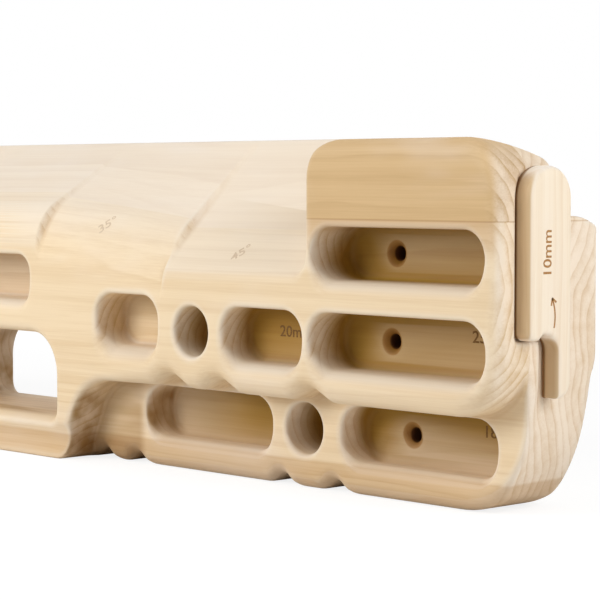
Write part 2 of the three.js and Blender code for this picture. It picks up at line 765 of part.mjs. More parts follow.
/** A countersunk hole from a pocket's back wall through to the wall side. */
function screwHoleCutter({ x, z, wall }, side) {
  const wide = COUNTERSINK_DIAMETER / 2;
  const narrow = SCREW_HOLE_DIAMETER / 2;
  const profile = [
    new THREE.Vector2(0, wall - POCKET_FLOOR_FILLET),
    new THREE.Vector2(wide, wall - POCKET_FLOOR_FILLET),
    new THREE.Vector2(wide, wall),
    new THREE.Vector2(narrow, wall + COUNTERSINK_DEPTH),
    new THREE.Vector2(narrow, BACK + OVERRUN),
    new THREE.Vector2(0, BACK + OVERRUN),
  ];
  return new THREE.LatheGeometry(profile, ROUND_STEPS).translate(side * x, 0, z);
}

const INSERT_NEAR = FRONT + INSERT_FROM_FRONT;
const INSERT_FAR = INSERT_NEAR + INSERT_WIDTH;
const INSERT_MIDDLE = INSERT_NEAR + INSERT_WIDTH / 2;
const SEAT_FLOOR = END - SEAT_DEPTH;

/** The shallow seat of the insert, with a ledge under its body. */
function seatCutter(side) {
  const near = INSERT_NEAR - SEAT_SIDE_GAP;
  const far = INSERT_FAR + SEAT_SIDE_GAP;
  const ledge = INSERT_BODY_BOTTOM - SEAT_CLEARANCE;
  const top = INSERT_TOP + SEAT_SIDE_GAP;
  const round = INSERT_WIDTH / 2 + SEAT_SIDE_GAP;
  const outline = roundedOutline([
    corner(near, ledge, INSERT_SMALL_CORNER),
    corner(near + SEAT_LEDGE_LENGTH, ledge, 0),
    corner(near + SEAT_LEDGE_LENGTH, -OVERRUN, 0),
    corner(far, -OVERRUN, 0),
    corner(far, top, round),
    corner(near, top, round),
  ]);
  return prism(outline, ALONG_X, side * SEAT_FLOOR, side * (END + OVERRUN));
}

/** A disc on the x axis that starts at a face and runs inwards or outwards. */
function disc(radius, from, to, z, side) {
  return new THREE.CylinderGeometry(radius, radius, Math.abs(to - from), ROUND_STEPS)
    .rotateZ(QUARTER_TURN)
    .translate((side * (from + to)) / 2, INSERT_MIDDLE, z);
}

const MAGNET_HEIGHTS = {
  upper: INSERT_TOP - UPPER_MAGNET_FROM_TOP,
  lower: INSERT_BODY_BOTTOM + LOWER_MAGNET_RISE,
};
const MAGNET_RADIUS = MAGNET_DIAMETER / 2;
const MAGNET_HOLE_RADIUS = MAGNET_RADIUS + MAGNET_CLEARANCE;
const INSERT_INNER_FACE = SEAT_FLOOR + SEAT_CLEARANCE;

/** The board: both thicknesses joined, then everything milled out of them. */
function board() {
  const centrePocket = {
    left: -CENTRE_POCKET_LENGTH / 2,
    right: CENTRE_POCKET_LENGTH / 2,
    floor: CENTRE_POCKET_FLOOR,
    height: CENTRE_POCKET_HEIGHT,
    radius: CENTRE_POCKET_CORNER,
    depth: CENTRE_POCKET_DEPTH,
    rim: rimOf(RIM_TOP, RIM_SIDE, RIM_LOWER),
    face: FRONT,
  };
  const sidePockets = SIDES.flatMap((side) => {
    return Object.values(POCKETS).map((pocket) => pocketCutter({
      ...pocket,
      left: Math.min(side * pocket.left, side * pocket.right),
      right: Math.max(side * pocket.left, side * pocket.right),
    }));
  });
  const sideCuts = SIDES.flatMap((side) => [
    reliefCutter(side),
    sloperBackCutter(side),
    jugCornerCutter(side),
    jugLipCutter(side),
    jugTroughCutter(side),
    seatCutter(side),
    ...screwHoles().map((hole) => screwHoleCutter(hole, side)),
    ...Object.values(MAGNET_HEIGHTS).map((z) => {
      const bottom = SEAT_FLOOR - MAGNET_THICKNESS - MAGNET_CLEARANCE;
      return disc(MAGNET_HOLE_RADIUS, bottom, END + OVERRUN, z, side);
    }),
  ]);
  const cuts = [
    sloperCutter(),
    barOpeningCutter(),
    barGrooveCutter(),
    pocketCutter(centrePocket),
    ...sidePockets,
    ...sideCuts,
  ];
  const blank = solidOf(frontBlock()).add(solidOf(lowerBlock()));
  return geometryOf(cuts.reduce((solid, cut) => solid.subtract(solidOf(cut)), blank));
}

/** The insert: a round-topped body and a narrow tail, with two magnet holes. */
function insert(side) {
  const tailNear = INSERT_FAR - INSERT_TAIL_WIDTH;
  const notchNear = tailNear - INSERT_NOTCH_WIDTH;
  const notchTop = INSERT_BODY_BOTTOM + INSERT_NOTCH_RISE;
  const round = INSERT_WIDTH / 2;
  const outline = roundedOutline([
    corner(INSERT_NEAR, INSERT_BODY_BOTTOM, INSERT_SMALL_CORNER + INSERT_OUTER_EDGE),
    corner(notchNear, INSERT_BODY_BOTTOM, 0),
    corner(notchNear + INSERT_NOTCH_RISE, notchTop, INSERT_NOTCH_RISE),
    corner(tailNear, notchTop, INSERT_NOTCH_RADIUS),
    corner(tailNear, INSERT_TAIL_BOTTOM, 0),
    corner(INSERT_FAR, INSERT_TAIL_BOTTOM, INSERT_TAIL_CORNER),
    corner(INSERT_FAR, INSERT_TOP, round),
    corner(INSERT_NEAR, INSERT_TOP, round),
  ]);
  const outerFace = INSERT_INNER_FACE + INSERT_THICKNESS;
  const edge = () => INSERT_OUTER_EDGE;
  const innerFace = side * INSERT_INNER_FACE;
  const blank = roundedRun(outline, ALONG_X, side * outerFace, innerFace, edge, INSERT_INNER_EDGE);
  const holeEnd = INSERT_INNER_FACE + MAGNET_THICKNESS + MAGNET_CLEARANCE;
  const holes = Object.values(MAGNET_HEIGHTS).map((z) => {
    return disc(MAGNET_HOLE_RADIUS, SEAT_FLOOR - OVERRUN, holeEnd, z, side);
  });
  return geometryOf(holes.reduce((solid, hole) => solid.subtract(solidOf(hole)), solidOf(blank)));
}

/** A magnet in the seat of the board. */
function seatMagnet(z, side) {
  return disc(MAGNET_RADIUS, SEAT_FLOOR - MAGNET_THICKNESS, SEAT_FLOOR, z, side);
}

/** A magnet in the inner face of the insert. */
function insertMagnet(z, side) {
  return disc(MAGNET_RADIUS, INSERT_INNER_FACE, INSERT_INNER_FACE + MAGNET_THICKNESS, z, side);
}

/** A named mesh with a material of its own. */
function named(name, geometry, look) {
  const mesh = new THREE.Mesh(geometry, new THREE.MeshStandardMaterial(look));
  mesh.name = name;
  return mesh;
}

/** The insert of one end with its magnets, and the magnets in the board. */
function endAssembly(side) {
  const end = side > 0 ? "right" : "left";
  const assembly = new THREE.Group();
  assembly.add(named(`insert_${end}`, insert(side), INSERT_MATERIAL));
  for (const [place, z] of Object.entries(MAGNET_HEIGHTS)) {
    assembly.add(named(`insert_magnet_${place}_${end}`, insertMagnet(z, side), MAGNET_MATERIAL));
    assembly.add(named(`seat_magnet_${place}_${end}`, seatMagnet(z, side), MAGNET_MATERIAL));
  }
  return assembly;
}

const group = new THREE.Group();
group.add(named("board", board(), BOARD_MATERIAL));
for (const side of SIDES) {
  group.add(endAssembly(side));
}

export default group;
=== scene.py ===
"""A wooden climbing hangboard with a storable depth insert on each end.

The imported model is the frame. The board and its inserts are worked again as
fine solids, each one a field of signed distances that is skinned once, and
get wood, burnt marks and light. Sizes of pieces are in millimetres, in the
frame's own axes: x along the board, y from the front to the wall and z up.
"""

from __future__ import annotations

import logging
import math
from dataclasses import dataclass, field, replace
from enum import Enum
from functools import reduce
from typing import Any, Callable

import bpy
import numpy as np
from mathutils import Matrix, Vector
from mathutils.bvhtree import BVHTree


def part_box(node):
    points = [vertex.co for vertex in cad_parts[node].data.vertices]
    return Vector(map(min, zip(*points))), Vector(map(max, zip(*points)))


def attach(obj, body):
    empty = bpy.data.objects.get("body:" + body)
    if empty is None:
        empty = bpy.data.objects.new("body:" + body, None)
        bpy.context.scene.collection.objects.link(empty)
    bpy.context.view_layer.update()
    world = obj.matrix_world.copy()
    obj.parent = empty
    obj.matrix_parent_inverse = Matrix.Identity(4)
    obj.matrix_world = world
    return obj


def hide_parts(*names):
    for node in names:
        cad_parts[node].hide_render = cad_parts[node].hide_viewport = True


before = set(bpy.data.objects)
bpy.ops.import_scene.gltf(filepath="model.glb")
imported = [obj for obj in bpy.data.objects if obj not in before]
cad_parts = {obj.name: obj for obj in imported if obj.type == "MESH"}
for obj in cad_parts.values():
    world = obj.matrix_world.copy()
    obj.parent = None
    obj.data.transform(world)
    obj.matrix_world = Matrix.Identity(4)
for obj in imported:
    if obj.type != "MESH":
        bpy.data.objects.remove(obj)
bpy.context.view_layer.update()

log = logging.getLogger("hangboard")

MILLIMETRE = 0.001
# How round the surface is at each point; it sets painted shade in creases and partly painted highlight on
# edges.
CURVATURE = "curvature"
# How much wood closes round a point: it sets painted shade in hollows and keeps the pale sanded coats out of
# them.
SHELTERED = "sheltered"

# How far every skin stands off the grid's own places, in millimetres.
HAIR = 0.0253
# How far round a point its rounding is felt for, in millimetres.
CURVATURE_REACH = 3.0
# The cell of the coarse grid on which shelter is counted, in millimetres, and the cells to each side.
SHELTER_CELL = 2.0
SHELTER_CELLS = 7
# How high a font's figures stand, how broad they are and how much bolder they burn, as shares of its size.
FIGURE_HEIGHT = 0.7
FIGURE_ADVANCE = 0.62
FIGURE_BURN = 0.012

Socket = bpy.types.NodeSocket
Point = tuple[float, float, float]
Part = tuple[slice, slice, slice]
Colour = tuple[float, float, float]
Span = tuple[float, float]

WHITE = (1.0, 1.0, 1.0, 1.0)


class Side(Enum):
    """An end of the board, by the way it lies along x."""

    RIGHT = 1
    LEFT = -1


class Slot(Enum):
    """Names of material slots; nothing in this script uses them."""

    BOARD = "board_wood"
    INSERT = "insert_wood"
    MAGNET = "magnet"


class Run(Enum):
    """The way that the wood's fibres run, as the axes that lie along and across them."""

    ALONG_X = ("X", "Y", "Z")
    ALONG_Z = ("Z", "Y", "X")


class Way(Enum):
    """How one colour lies on another."""

    COAT = "MIX"
    STAIN_AND_SHADE = "MULTIPLY"


# Finishes


class Shader:
    """The node tree of a material or a world, built up by short calls."""

    def __init__(self, name: str, kind: str = "materials") -> None:
        """Starts an empty tree.

        Args:
            name: The owner's name.
            kind: Where Blender keeps owners of its kind.
        """
        self.owner = getattr(bpy.data, kind).new(name)
        self.owner.use_nodes = True
        self.tree = self.owner.node_tree
        self.tree.nodes.clear()

    def add(self, kind: str, inputs: dict[Any, Any] | None = None, **settings: Any) -> bpy.types.Node:
        """Adds a node.

        Args:
            kind: The node's type, without its common first word.
            inputs: Its sockets, each with the socket that feeds it or a value.
            settings: Its properties.

        Returns:
            The node.
        """
        node = self.tree.nodes.new(f"ShaderNode{kind}")
        for name, value in settings.items():
            setattr(node, name, value)
        for name, value in (inputs or {}).items():
            if isinstance(value, Socket):
                self.tree.links.new(value, node.inputs[name])
            else:
                node.inputs[name].default_value = value
        return node

    def math(self, operation: str, *values: Any, clamp: bool = False) -> Socket:
        """One step of arithmetic on sockets or numbers."""
        return self.add("Math", dict(enumerate(values)), operation=operation, use_clamp=clamp).outputs[0]

    def plus(self, *terms: Any) -> Socket:
        """The sum of sockets or numbers."""
        return reduce(lambda total, term: self.math("ADD", total, term), terms)

    def less(self, first: Any, second: Any) -> Socket:
        """The first socket or number without the second."""
        return self.math("SUBTRACT", first, second)

    def times(self, *factors: Any) -> Socket:
        """The product of sockets or numbers."""
        return reduce(lambda product, factor: self.math("MULTIPLY", product, factor), factors)

    def away(self, *sides: Any) -> Socket:
        """The length of the straight line that goes so far along each of two sides."""
        return self.math("SQRT", self.plus(*(self.times(side, side) for side in sides)))

    def mix(self, first: Any, second: Any, share: Any) -> Socket:
        """A number between two others, by a share."""
        if (first, second) == (0.0, 1.0):
            return share
        return self.add("Mix", {0: share, 2: first, 3: second}, data_type="FLOAT").outputs[0]

    def blend(self, first: Any, second: Any, share: Any, way: Way = Way.COAT) -> Socket:
        """A colour between two others, by a share.

        Args:
            first: The colour at 0, as a socket or three numbers.
            second: The colour at 1.
            share: How far between them.
            way: How the second lies on the first.

        Returns:
            The socket of the colour.
        """
        first, second = (
            colour if isinstance(colour, Socket) else (*colour, 1.0)
            for colour in (first, second)
        )
        inputs = {0: share, 6: first, 7: second}
        return self.add("Mix", inputs, data_type="RGBA", blend_type=way.value).outputs[2]

    def noise(self, vector: Any, scale: float, detail: float = 2.0, rough: float = 0.5) -> Socket:
        """Even noise from 0 to 1 that is about 0.5 on average."""
        inputs = {"Vector": vector, "Scale": scale, "Detail": detail, "Roughness": rough}
        return self.add("TexNoise", inputs).outputs[0]

    def ramp(self, value: Any, span: Span) -> Socket:
        """A soft share from 0 at the start of a span to 1 at its end."""
        inputs = {"Value": value, "From Min": span[0], "From Max": span[1]}
        return self.add("MapRange", inputs, interpolation_type="SMOOTHSTEP").outputs[0]

    def surface(self, inputs: dict[str, Any]) -> bpy.types.Material:
        """Ends the tree in a principled surface.

        Args:
            inputs: The surface's sockets.

        Returns:
            The finished material.
        """
        shell = self.add("BsdfPrincipled", inputs)
        self.add("OutputMaterial", {"Surface": shell.outputs[0]})
        return self.owner


@dataclass(frozen=True)
class Stave:
    """One stave of the glued-up plank.

    Attributes:
        heart: Where its growth rings have their middle, across the fibres, in millimetres.
        pale: Colour of its early wood.
        dark: Colour of its late wood.
        wander: How far its rings stray, in millimetres.
        figure: How strongly its rings show on a face along the fibres.
    """

    heart: tuple[float, float]
    pale: Colour
    dark: Colour
    wander: float = 26.0
    figure: float = 1.0


class By(Enum):
    """What a mask goes by."""

    OUTWARD = "millimetres from the middle of the board"
    BACK = "millimetres towards the wall"
    HIGH = "millimetres up"
    LIFTED = "turn upwards"
    ENDWAYS = "turn towards an end"
    FLATWAYS = "turn towards the front or the wall"
    CURVATURE = "how round an edge is, below 0 in a crease"
    # Also how little light reaches, for the painted shade in hollows.
    SHELTERED = "how little a sanding pad reaches"
    CLOUD = "broad noise"
    RIPPLE = "fine noise"
    END_GRAIN = "share of end grain"
    TOP = "share of the top stave"
    REAR = "share of the rear stave"
    SCREW = "millimetres from the nearest screw"


@dataclass(frozen=True)
class Mask:
    """A share that goes by one thing.

    Attributes:
        by: What it goes by.
        span: Where a soft ramp starts and is full, or none where what it goes by is itself a share.
        least: The share at the ramp's start.
        most: The share where it is full.
    """

    by: By
    span: Span | None = None
    least: float = 0.0
    most: float = 1.0

    def share(self, grain: Grain) -> Socket:
        """The share at each place of a wood."""
        share = grain.given[self.by] if self.span is None else grain.ramp(grain.given[self.by], self.span)
        return grain.mix(self.least, self.most, share)


@dataclass(frozen=True)
class Overlap:
    """Where several masks lie together, as their product.

    Attributes:
        masks: The masks.
        least: The share where they don't.
        most: The share where they do.
    """

    masks: tuple[Mask, ...]
    least: float = 0.0
    most: float = 1.0

    def share(self, grain: Grain) -> Socket:
        """The share at each place of a wood."""
        return grain.mix(self.least, self.most, grain.times(*(mask.share(grain) for mask in self.masks)))


@dataclass(frozen=True)
class Either:
    """Where at least one of two overlaps lies, by the stronger one.

    Attributes:
        first: The one overlap.
        second: The other one.
    """

    first: Overlap
    second: Overlap

    def share(self, grain: Grain) -> Socket:
        """The share at each place of a wood."""
        return grain.math("MAXIMUM", self.first.share(grain), self.second.share(grain))


@dataclass(frozen=True)
class Layer:
    """A colour that is laid on the wood, or a stain or painted shade that darkens it.

    Attributes:
        tone: The colour, or what the darkening leaves of the wood's.
        masks: Where it lies, as their product.
        strength: How much of it shows.
        way: How it lies on the wood.
    """

    tone: Colour
    masks: tuple[Mask | Overlap | Either, ...]
    strength: float = 1.0
    way: Way = Way.STAIN_AND_SHADE

    def over(self, grain: Grain, colour: Socket) -> Socket:
        """The wood's colour after this layer."""
        share = grain.times(*(mask.share(grain) for mask in self.masks), self.strength)
        return grain.blend(colour, self.tone, share, self.way)


@dataclass(frozen=True)
class Wood:
    """Sanded pale hardwood with growth rings, fibres and open pores.

    Attributes:
        name: The material's name.
        run: The way of its fibres.
        front: The stave in front.
        top: The stave above the seam.
        rear: The stave at the wall.
        layers: What work and use have left on it, and the painted light and shade on it, in order.
        screws: Heights of the countersunk screw holes.
        screw_outward: Their place along the board.
        rear_from: Where the rear stave begins, across the fibres.
        top_from: Where the top stave begins.
        top_outward: Where its dark wood begins and is full along the board.
        seam: How far a change of stave spreads to each side.
        ring: Width of a growth ring.
        ripple: How far the small waves of the rings go.
        late: How sharply late wood sets in.
        late_end: Between what shares of a ring its late wood ends.
        end_grain: How far a face turns along the fibres where their ends begin to show, and show in full.
        end_pale: Colour of the early wood on a sanded end.
        end_share: How much of that colour an end takes.
        figure: Least and most that the rings show along the fibres.
        end_figure: How much they show on an end.
        bands: How much groups of rings differ, along the fibres and on an end.
        streaks: Strength of the streaks along the fibres, and the shade that they start from.
        fibres: The same for the single fibres.
        pores: How much the pores show, along the fibres and on an end.
        pore_size: Between what heights of the noise a pore opens.
        roughness: How rough the sanded surface is, least and most.
        bump: Strength and height of the fibres' relief, the height in metres.
        shine: How much light the bare surface throws back.
    """

    name: str
    run: Run
    front: Stave
    top: Stave
    rear: Stave
    layers: tuple[Layer, ...]
    screws: tuple[float, ...] = ()
    screw_outward: float = 289.0
    rear_from: float = 100.0
    top_from: float = 1000.0
    top_outward: Span = (252.0, 260.0)
    seam: float = 0.2
    ring: float = 5.2
    ripple: float = 3.0
    late: float = 3.0
    late_end: Span = (1.0, 0.9)
    end_grain: Span = (0.4, 0.9)
    end_pale: Colour = (0.88, 0.76, 0.63)
    end_share: float = 0.65
    figure: Span = (0.15, 0.6)
    end_figure: float = 0.82
    bands: Span = (0.4, 1.5)
    streaks: Span = (1.15, -0.42)
    fibres: Span = (0.7, -0.35)
    pores: Span = (0.08, 0.2)
    pore_size: Span = (0.62, 0.78)
    roughness: Span = (0.52, 0.72)
    bump: Span = (0.22, 0.0003)
    shine: float = 0.32

    def material(self) -> bpy.types.Material:
        """Grows the wood and works it, layer by layer."""
        return Grain(self).finished()


class Grain(Shader):
    """The node tree of a wood, with what its masks go by."""

    def __init__(self, wood: Wood) -> None:
        """Finds where a point lies on the object and in its stave.

        Args:
            wood: The wood.
        """
        super().__init__(wood.name)
        self.wood = wood
        place = self.add("TexCoord").outputs["Object"]
        self.place = self.add("VectorMath", {0: place, 3: 1 / MILLIMETRE}, operation="SCALE").outputs[0]
        axes = self.add("SeparateXYZ", {0: self.place}).outputs
        self.along, self.across, self.up = (axes[axis] for axis in wood.run.value)
        outward = self.math("ABSOLUTE", axes["X"])
        turn = self.add("SeparateXYZ", {0: self.add("NewGeometry").outputs["Normal"]}).outputs
        turned = {axis: self.math("ABSOLUTE", turn[axis]) for axis in ("X", "Y", "Z")}
        self.end_grain = self.ramp(turned[wood.run.value[0]], wood.end_grain)
        self.rear = self.ramp(self.across, (wood.rear_from - wood.seam, wood.rear_from + wood.seam))
        above = self.ramp(self.up, (wood.top_from - wood.seam, wood.top_from + wood.seam))
        self.top = self.times(above, self.ramp(outward, wood.top_outward))
        self.ripple = self.noise(self.stretched(0.22), scale=0.07)
        self.fibre = self.noise(self.stretched(0.012), scale=1.5, detail=3.0, rough=0.65)
        self.radius = self._radius()
        phase = self.math("FRACT", self.math("DIVIDE", self.radius, wood.ring))
        self.late = self.times(self.math("POWER", phase, wood.late), self.ramp(phase, wood.late_end))
        self.given = {
            By.OUTWARD: outward,
            By.BACK: axes["Y"],
            By.HIGH: axes["Z"],
            By.LIFTED: turn["Z"],
            By.ENDWAYS: turned["X"],
            By.FLATWAYS: turned["Y"],
            By.CURVATURE: self.add("Attribute", attribute_name=CURVATURE).outputs["Fac"],
            By.SHELTERED: self.add("Attribute", attribute_name=SHELTERED).outputs["Fac"],
            By.CLOUD: self.noise(self.stretched(0.35), scale=0.022, detail=3.0, rough=0.6),
            By.RIPPLE: self.ripple,
            By.END_GRAIN: self.end_grain,
            By.TOP: self.top,
            By.REAR: self.rear,
        }
        if wood.screws:
            self.given[By.SCREW] = self._from_screws()

    def stretched(self, share: float) -> Socket:
        """Places with the run along the fibres shortened by a share."""
        shorter = self.times(self.along, share)
        return self.add("CombineXYZ", {0: shorter, 1: self.across, 2: self.up}).outputs[0]

    def by_stave(self, between: Callable[..., Socket], take: Callable[[Stave], Any]) -> Socket:
        """What each stave has of its own.

        Args:
            between: How two staves' values are mixed.
            take: Gives the value of a stave.

        Returns:
            The value at each place.
        """
        front, above, behind = (take(stave) for stave in (self.wood.front, self.wood.top, self.wood.rear))
        return between(between(front, above, self.top), behind, self.rear)

    def _radius(self) -> Socket:
        """How far a place lies from the heart of its stave, with the rings' wander.

        Returns:
            The distance in millimetres.
        """
        from_heart = (
            self.less(self.across, self.by_stave(self.mix, lambda stave: stave.heart[0])),
            self.less(self.up, self.by_stave(self.mix, lambda stave: stave.heart[1])),
        )
        wander = self.noise(self.stretched(0.16), scale=0.016)
        drift = self.times(wander, self.by_stave(self.mix, lambda stave: stave.wander))
        return self.plus(self.away(*from_heart), drift, self.times(self.ripple, self.wood.ripple))

    def _from_screws(self) -> Socket:
        """How far a place lies from the middle of the nearest screw hole.

        Returns:
            The distance in millimetres.
        """
        aside = self.less(self.given[By.OUTWARD], self.wood.screw_outward)
        ways = [self.away(aside, self.less(self.given[By.HIGH], height)) for height in self.wood.screws]
        return reduce(lambda nearest, way: self.math("MINIMUM", nearest, way), ways)

    def _shade(self) -> Socket:
        """How far the wood goes from pale to dark, by rings, bands, streaks, fibres and pores.

        Returns:
            The share of the dark colour.
        """
        wood = self.wood
        vigour = self.ramp(self.noise(self.stretched(0.05), scale=0.05, detail=1.0), (0.3, 0.7))
        streak = self.noise(self.stretched(0.008), scale=0.16, detail=3.0, rough=0.6)
        pore = self.ramp(self.noise(self.place, scale=2.2), wood.pore_size)
        bands = self.add("CombineXYZ", {0: self.radius, 1: self.rear, 2: self.top}).outputs[0]
        band = self.less(self.noise(bands, scale=0.09), 0.5)
        own_figure = self.by_stave(self.mix, lambda stave: stave.figure)
        figure = self.times(self.mix(*wood.figure, vigour), own_figure)
        shade = self.plus(
            self.math("MULTIPLY_ADD", streak, *wood.streaks),
            self.times(self.late, self.mix(figure, wood.end_figure, self.end_grain)),
            self.times(band, self.mix(*wood.bands, self.end_grain)),
            self.math("MULTIPLY_ADD", self.fibre, *wood.fibres),
        )
        return self.math("ADD", shade, self.times(pore, self.mix(*wood.pores, self.end_grain)), clamp=True)

    def finished(self) -> bpy.types.Material:
        """Colours the wood as it grew, lays its layers over that and ends the tree.

        Returns:
            The finished material.
        """
        wood = self.wood
        sanded_end = self.times(self.end_grain, SANDED_AND_LIT.share(self), wood.end_share)
        pale = self.blend(self.by_stave(self.blend, lambda stave: stave.pale), wood.end_pale, sanded_end)
        dark = self.by_stave(self.blend, lambda stave: stave.dark)
        colour = self.blend(pale, dark, self._shade())
        for layer in wood.layers:
            colour = layer.over(self, colour)
        strength, distance = wood.bump
        height = self.plus(self.times(self.late, 0.5), self.fibre)
        bump = self.add("Bump", {"Strength": strength, "Distance": distance, "Height": height})
        return self.surface({
            "Base Color": colour,
            "Roughness": self.mix(*wood.roughness, self.fibre),
            "Normal": bump.outputs[0],
            "Specular IOR Level": wood.shine,
        })


@dataclass(frozen=True)
class Burn:
    """Laser-burnt wood, unevenly charred.

    Attributes:
        name: The material's name.
        light: Colour where it is least charred.
        deep: Colour where it is most charred.
    """

    name: str
    light: Colour
    deep: Colour

    def material(self) -> bpy.types.Material:
        """Builds the node tree.

        Returns:
            The finished material.
        """
        shader = Shader(self.name)
        place = shader.add("TexCoord").outputs["Object"]
        char = shader.ramp(shader.noise(place, scale=2400.0, detail=3.0, rough=0.6), (0.35, 0.65))
        return shader.surface({
            "Base Color": shader.blend(self.light, self.deep, char),
            "Roughness": shader.mix(0.75, 0.92, char),
            "Specular IOR Level": 0.15,
        })


@dataclass(frozen=True)
class Nickel:
    """The bright plating of a disc magnet, with fine scuffs."""

    name: str = "nickel_plate"

    def material(self) -> bpy.types.Material:
        """Builds the node tree.

        Returns:
            The finished material.
        """
        shader = Shader(self.name)
        place = shader.add("TexCoord").outputs["Object"]
        scuff = shader.noise(place, scale=1400.0, detail=4.0, rough=0.7)
        return shader.surface({
            "Base Color": shader.blend((0.60, 0.59, 0.57), (0.48, 0.46, 0.43), scuff),
            "Metallic": 1.0,
            "Roughness": shader.mix(0.18, 0.38, scuff),
        })


# Where a sanding pad reaches, outside the hollows: it keeps the pale coats out of them, which adds to their
# painted shade.
SANDED_AND_LIT = Mask(By.SHELTERED, (0.35, 0.1))
# Where the glue-up shows along the board, and the place of its seam.
GLUED = Mask(By.OUTWARD, (252.0, 262.0))
SEAM = 130.0

PAD = Layer((0.84, 0.74, 0.66), (Mask(By.CLOUD, (0.5, 0.8)), SANDED_AND_LIT), 0.4, Way.COAT)
# Paler rounded edges, partly rubbed wear and partly painted highlight where they catch the light; weaker on
# the top stave and kept out of the hollows.
RUBBED_AND_LIT_EDGE = Layer(
    (0.85, 0.78, 0.68),
    (Mask(By.CURVATURE, (0.02, 0.4)), Mask(By.TOP, None, 1.0, 0.3), SANDED_AND_LIT),
    0.35,
    Way.COAT,
)
# Painted shade, dark brown, in creases and inner corners.
CREASE_SHADE = Layer((0.55, 0.36, 0.19), (Mask(By.CURVATURE, (-0.02, -0.4)),), 0.45, Way.COAT)
# Painted light on faces that turn upwards, uneven in clouds, but not on the top stave nor below about 30 mm.
UPWARD_LIGHT = Layer(
    (0.82, 0.76, 0.69),
    (
        Mask(By.LIFTED, (0.25, 0.8)),
        Mask(By.TOP, None, 1.0, 0.0),
        Mask(By.CLOUD, None, 0.25, 0.6),
        Mask(By.HIGH, (30.0, 50.0)),
    ),
    way=Way.COAT,
)
# Painted shade on the insert's narrow sides, which face the front and the wall.
SIDE_SHADE = Layer((0.72, 0.60, 0.44), (Mask(By.FLATWAYS, (0.5, 0.85)),))
# Painted shade, a warm dark brown, where wood closes round a point in pockets and hollows: faint towards the
# board's middle, and lifted from the lower part of the two-finger pocket, where the lamp's light falls.
POCKET_SHADE = Layer(
    (0.45, 0.31, 0.06),
    (
        Mask(By.SHELTERED, (0.02, 0.46)),
        Mask(By.OUTWARD, (90.0, 190.0), 0.15),
        Overlap(
            (Mask(By.OUTWARD, (158.0, 150.0)), Mask(By.HIGH, (82.0, 74.0)), Mask(By.HIGH, (50.0, 56.0))),
            1.0,
            0.2,
        ),
    ),
)
# Painted shade in patches: on end-grain walls near the board's middle, most below about 50 mm, and low on
# the coves beside the bar.
COVE_SHADE = Layer(
    (0.47, 0.33, 0.15),
    (
        Either(
            Overlap((
                Mask(By.END_GRAIN),
                Mask(By.OUTWARD, (150.0, 110.0)),
                Mask(By.HIGH, (50.0, 70.0), 1.0, 0.3),
            )),
            Overlap(
                (
                    Mask(By.OUTWARD, (117.0, 109.0)),
                    Mask(By.HIGH, (54.0, 42.0)),
                    Mask(By.BACK, (-30.0, -20.0)),
                    Mask(By.BACK, (26.0, 10.0)),
                ),
                most=0.7,
            ),
        ),
        Mask(By.RIPPLE, (0.35, 0.7), 0.3),
    ),
)
TAN_STRIP = Layer(
    (0.82, 0.74, 0.66),
    (
        Mask(By.HIGH, (SEAM - 20.0, SEAM - 5.0)),
        Mask(By.HIGH, (SEAM + 0.2, SEAM - 0.2)),
        GLUED,
        Mask(By.REAR, None, 1.0, 0.0),
        Mask(By.END_GRAIN, None, 1.0, 0.0),
    ),
)
GLUE_LINE = Layer(
    (0.62, 0.46, 0.28),
    (Mask(By.HIGH, (SEAM - 0.5, SEAM - 0.2)), Mask(By.HIGH, (SEAM + 0.5, SEAM + 0.2)), GLUED),
    0.5,
)
# Darker and warmer below about 14 mm up.
DARKER_LOW_DOWN = Layer((0.84, 0.76, 0.66), (Mask(By.HIGH, (15.0, 13.0)),))
SCREW_SINK = Layer((0.74, 0.58, 0.38), (Mask(By.SCREW, (6.7, 5.9)),))
# Painted shade, near black, in the screw holes' bores.
BORE_SHADE = Layer((0.22, 0.15, 0.09), (Mask(By.SCREW, (3.9, 3.3)),))
# Painted shade on the rim of the part of an insert that lies in its seat, for the dark crevice between them.
SEAT_SHADE = Layer((0.36, 0.25, 0.16), (Mask(By.OUTWARD, (375.2, 374.0)), Mask(By.ENDWAYS, (0.9, 0.5))))

# The sanded coats, with the painted highlight on edges, painted shade in creases and painted light on upward
# faces.
SANDING_AND_PAINTED_LIGHT = (PAD, RUBBED_AND_LIT_EDGE, CREASE_SHADE, UPWARD_LIGHT)
BOARD_WOOD = Wood(
    "board_wood",
    Run.ALONG_X,
    front=Stave((-90.0, 104.0), (0.82, 0.65, 0.43), (0.63, 0.43, 0.22), figure=0.75),
    top=Stave((-100.0, 112.0), (0.645, 0.445, 0.225), (0.49, 0.305, 0.13), wander=10.0, figure=0.6),
    rear=Stave((113.0, 77.0), (0.83, 0.68, 0.50), (0.68, 0.50, 0.32)),
    layers=(*SANDING_AND_PAINTED_LIGHT, POCKET_SHADE, COVE_SHADE, TAN_STRIP, GLUE_LINE, DARKER_LOW_DOWN, SCREW_SINK, BORE_SHADE),
    screws=(114.0, 73.5, 29.0),
    rear_from=-12.5,
    top_from=SEAM,
)
INSERT_STAVE = Stave((-60.0, 402.0), (0.90, 0.78, 0.62), (0.77, 0.59, 0.39))
INSERT_WOOD = Wood(
    "insert_wood",
    Run.ALONG_Z,
    front=INSERT_STAVE,
    top=INSERT_STAVE,
    rear=INSERT_STAVE,
    # The insert takes the same painted shade, weaker, in its magnet holes and hollows.
    layers=(*SANDING_AND_PAINTED_LIGHT, SIDE_SHADE, replace(POCKET_SHADE, strength=0.3), SEAT_SHADE),
    ring=4.0,
    roughness=(0.47, 0.67),
)
BURN = Burn("burnt_mark", (0.24, 0.135, 0.05), (0.14, 0.07, 0.025))
INSERT_BURN = Burn("burnt_insert_mark", (0.52, 0.29, 0.11), (0.32, 0.15, 0.05))
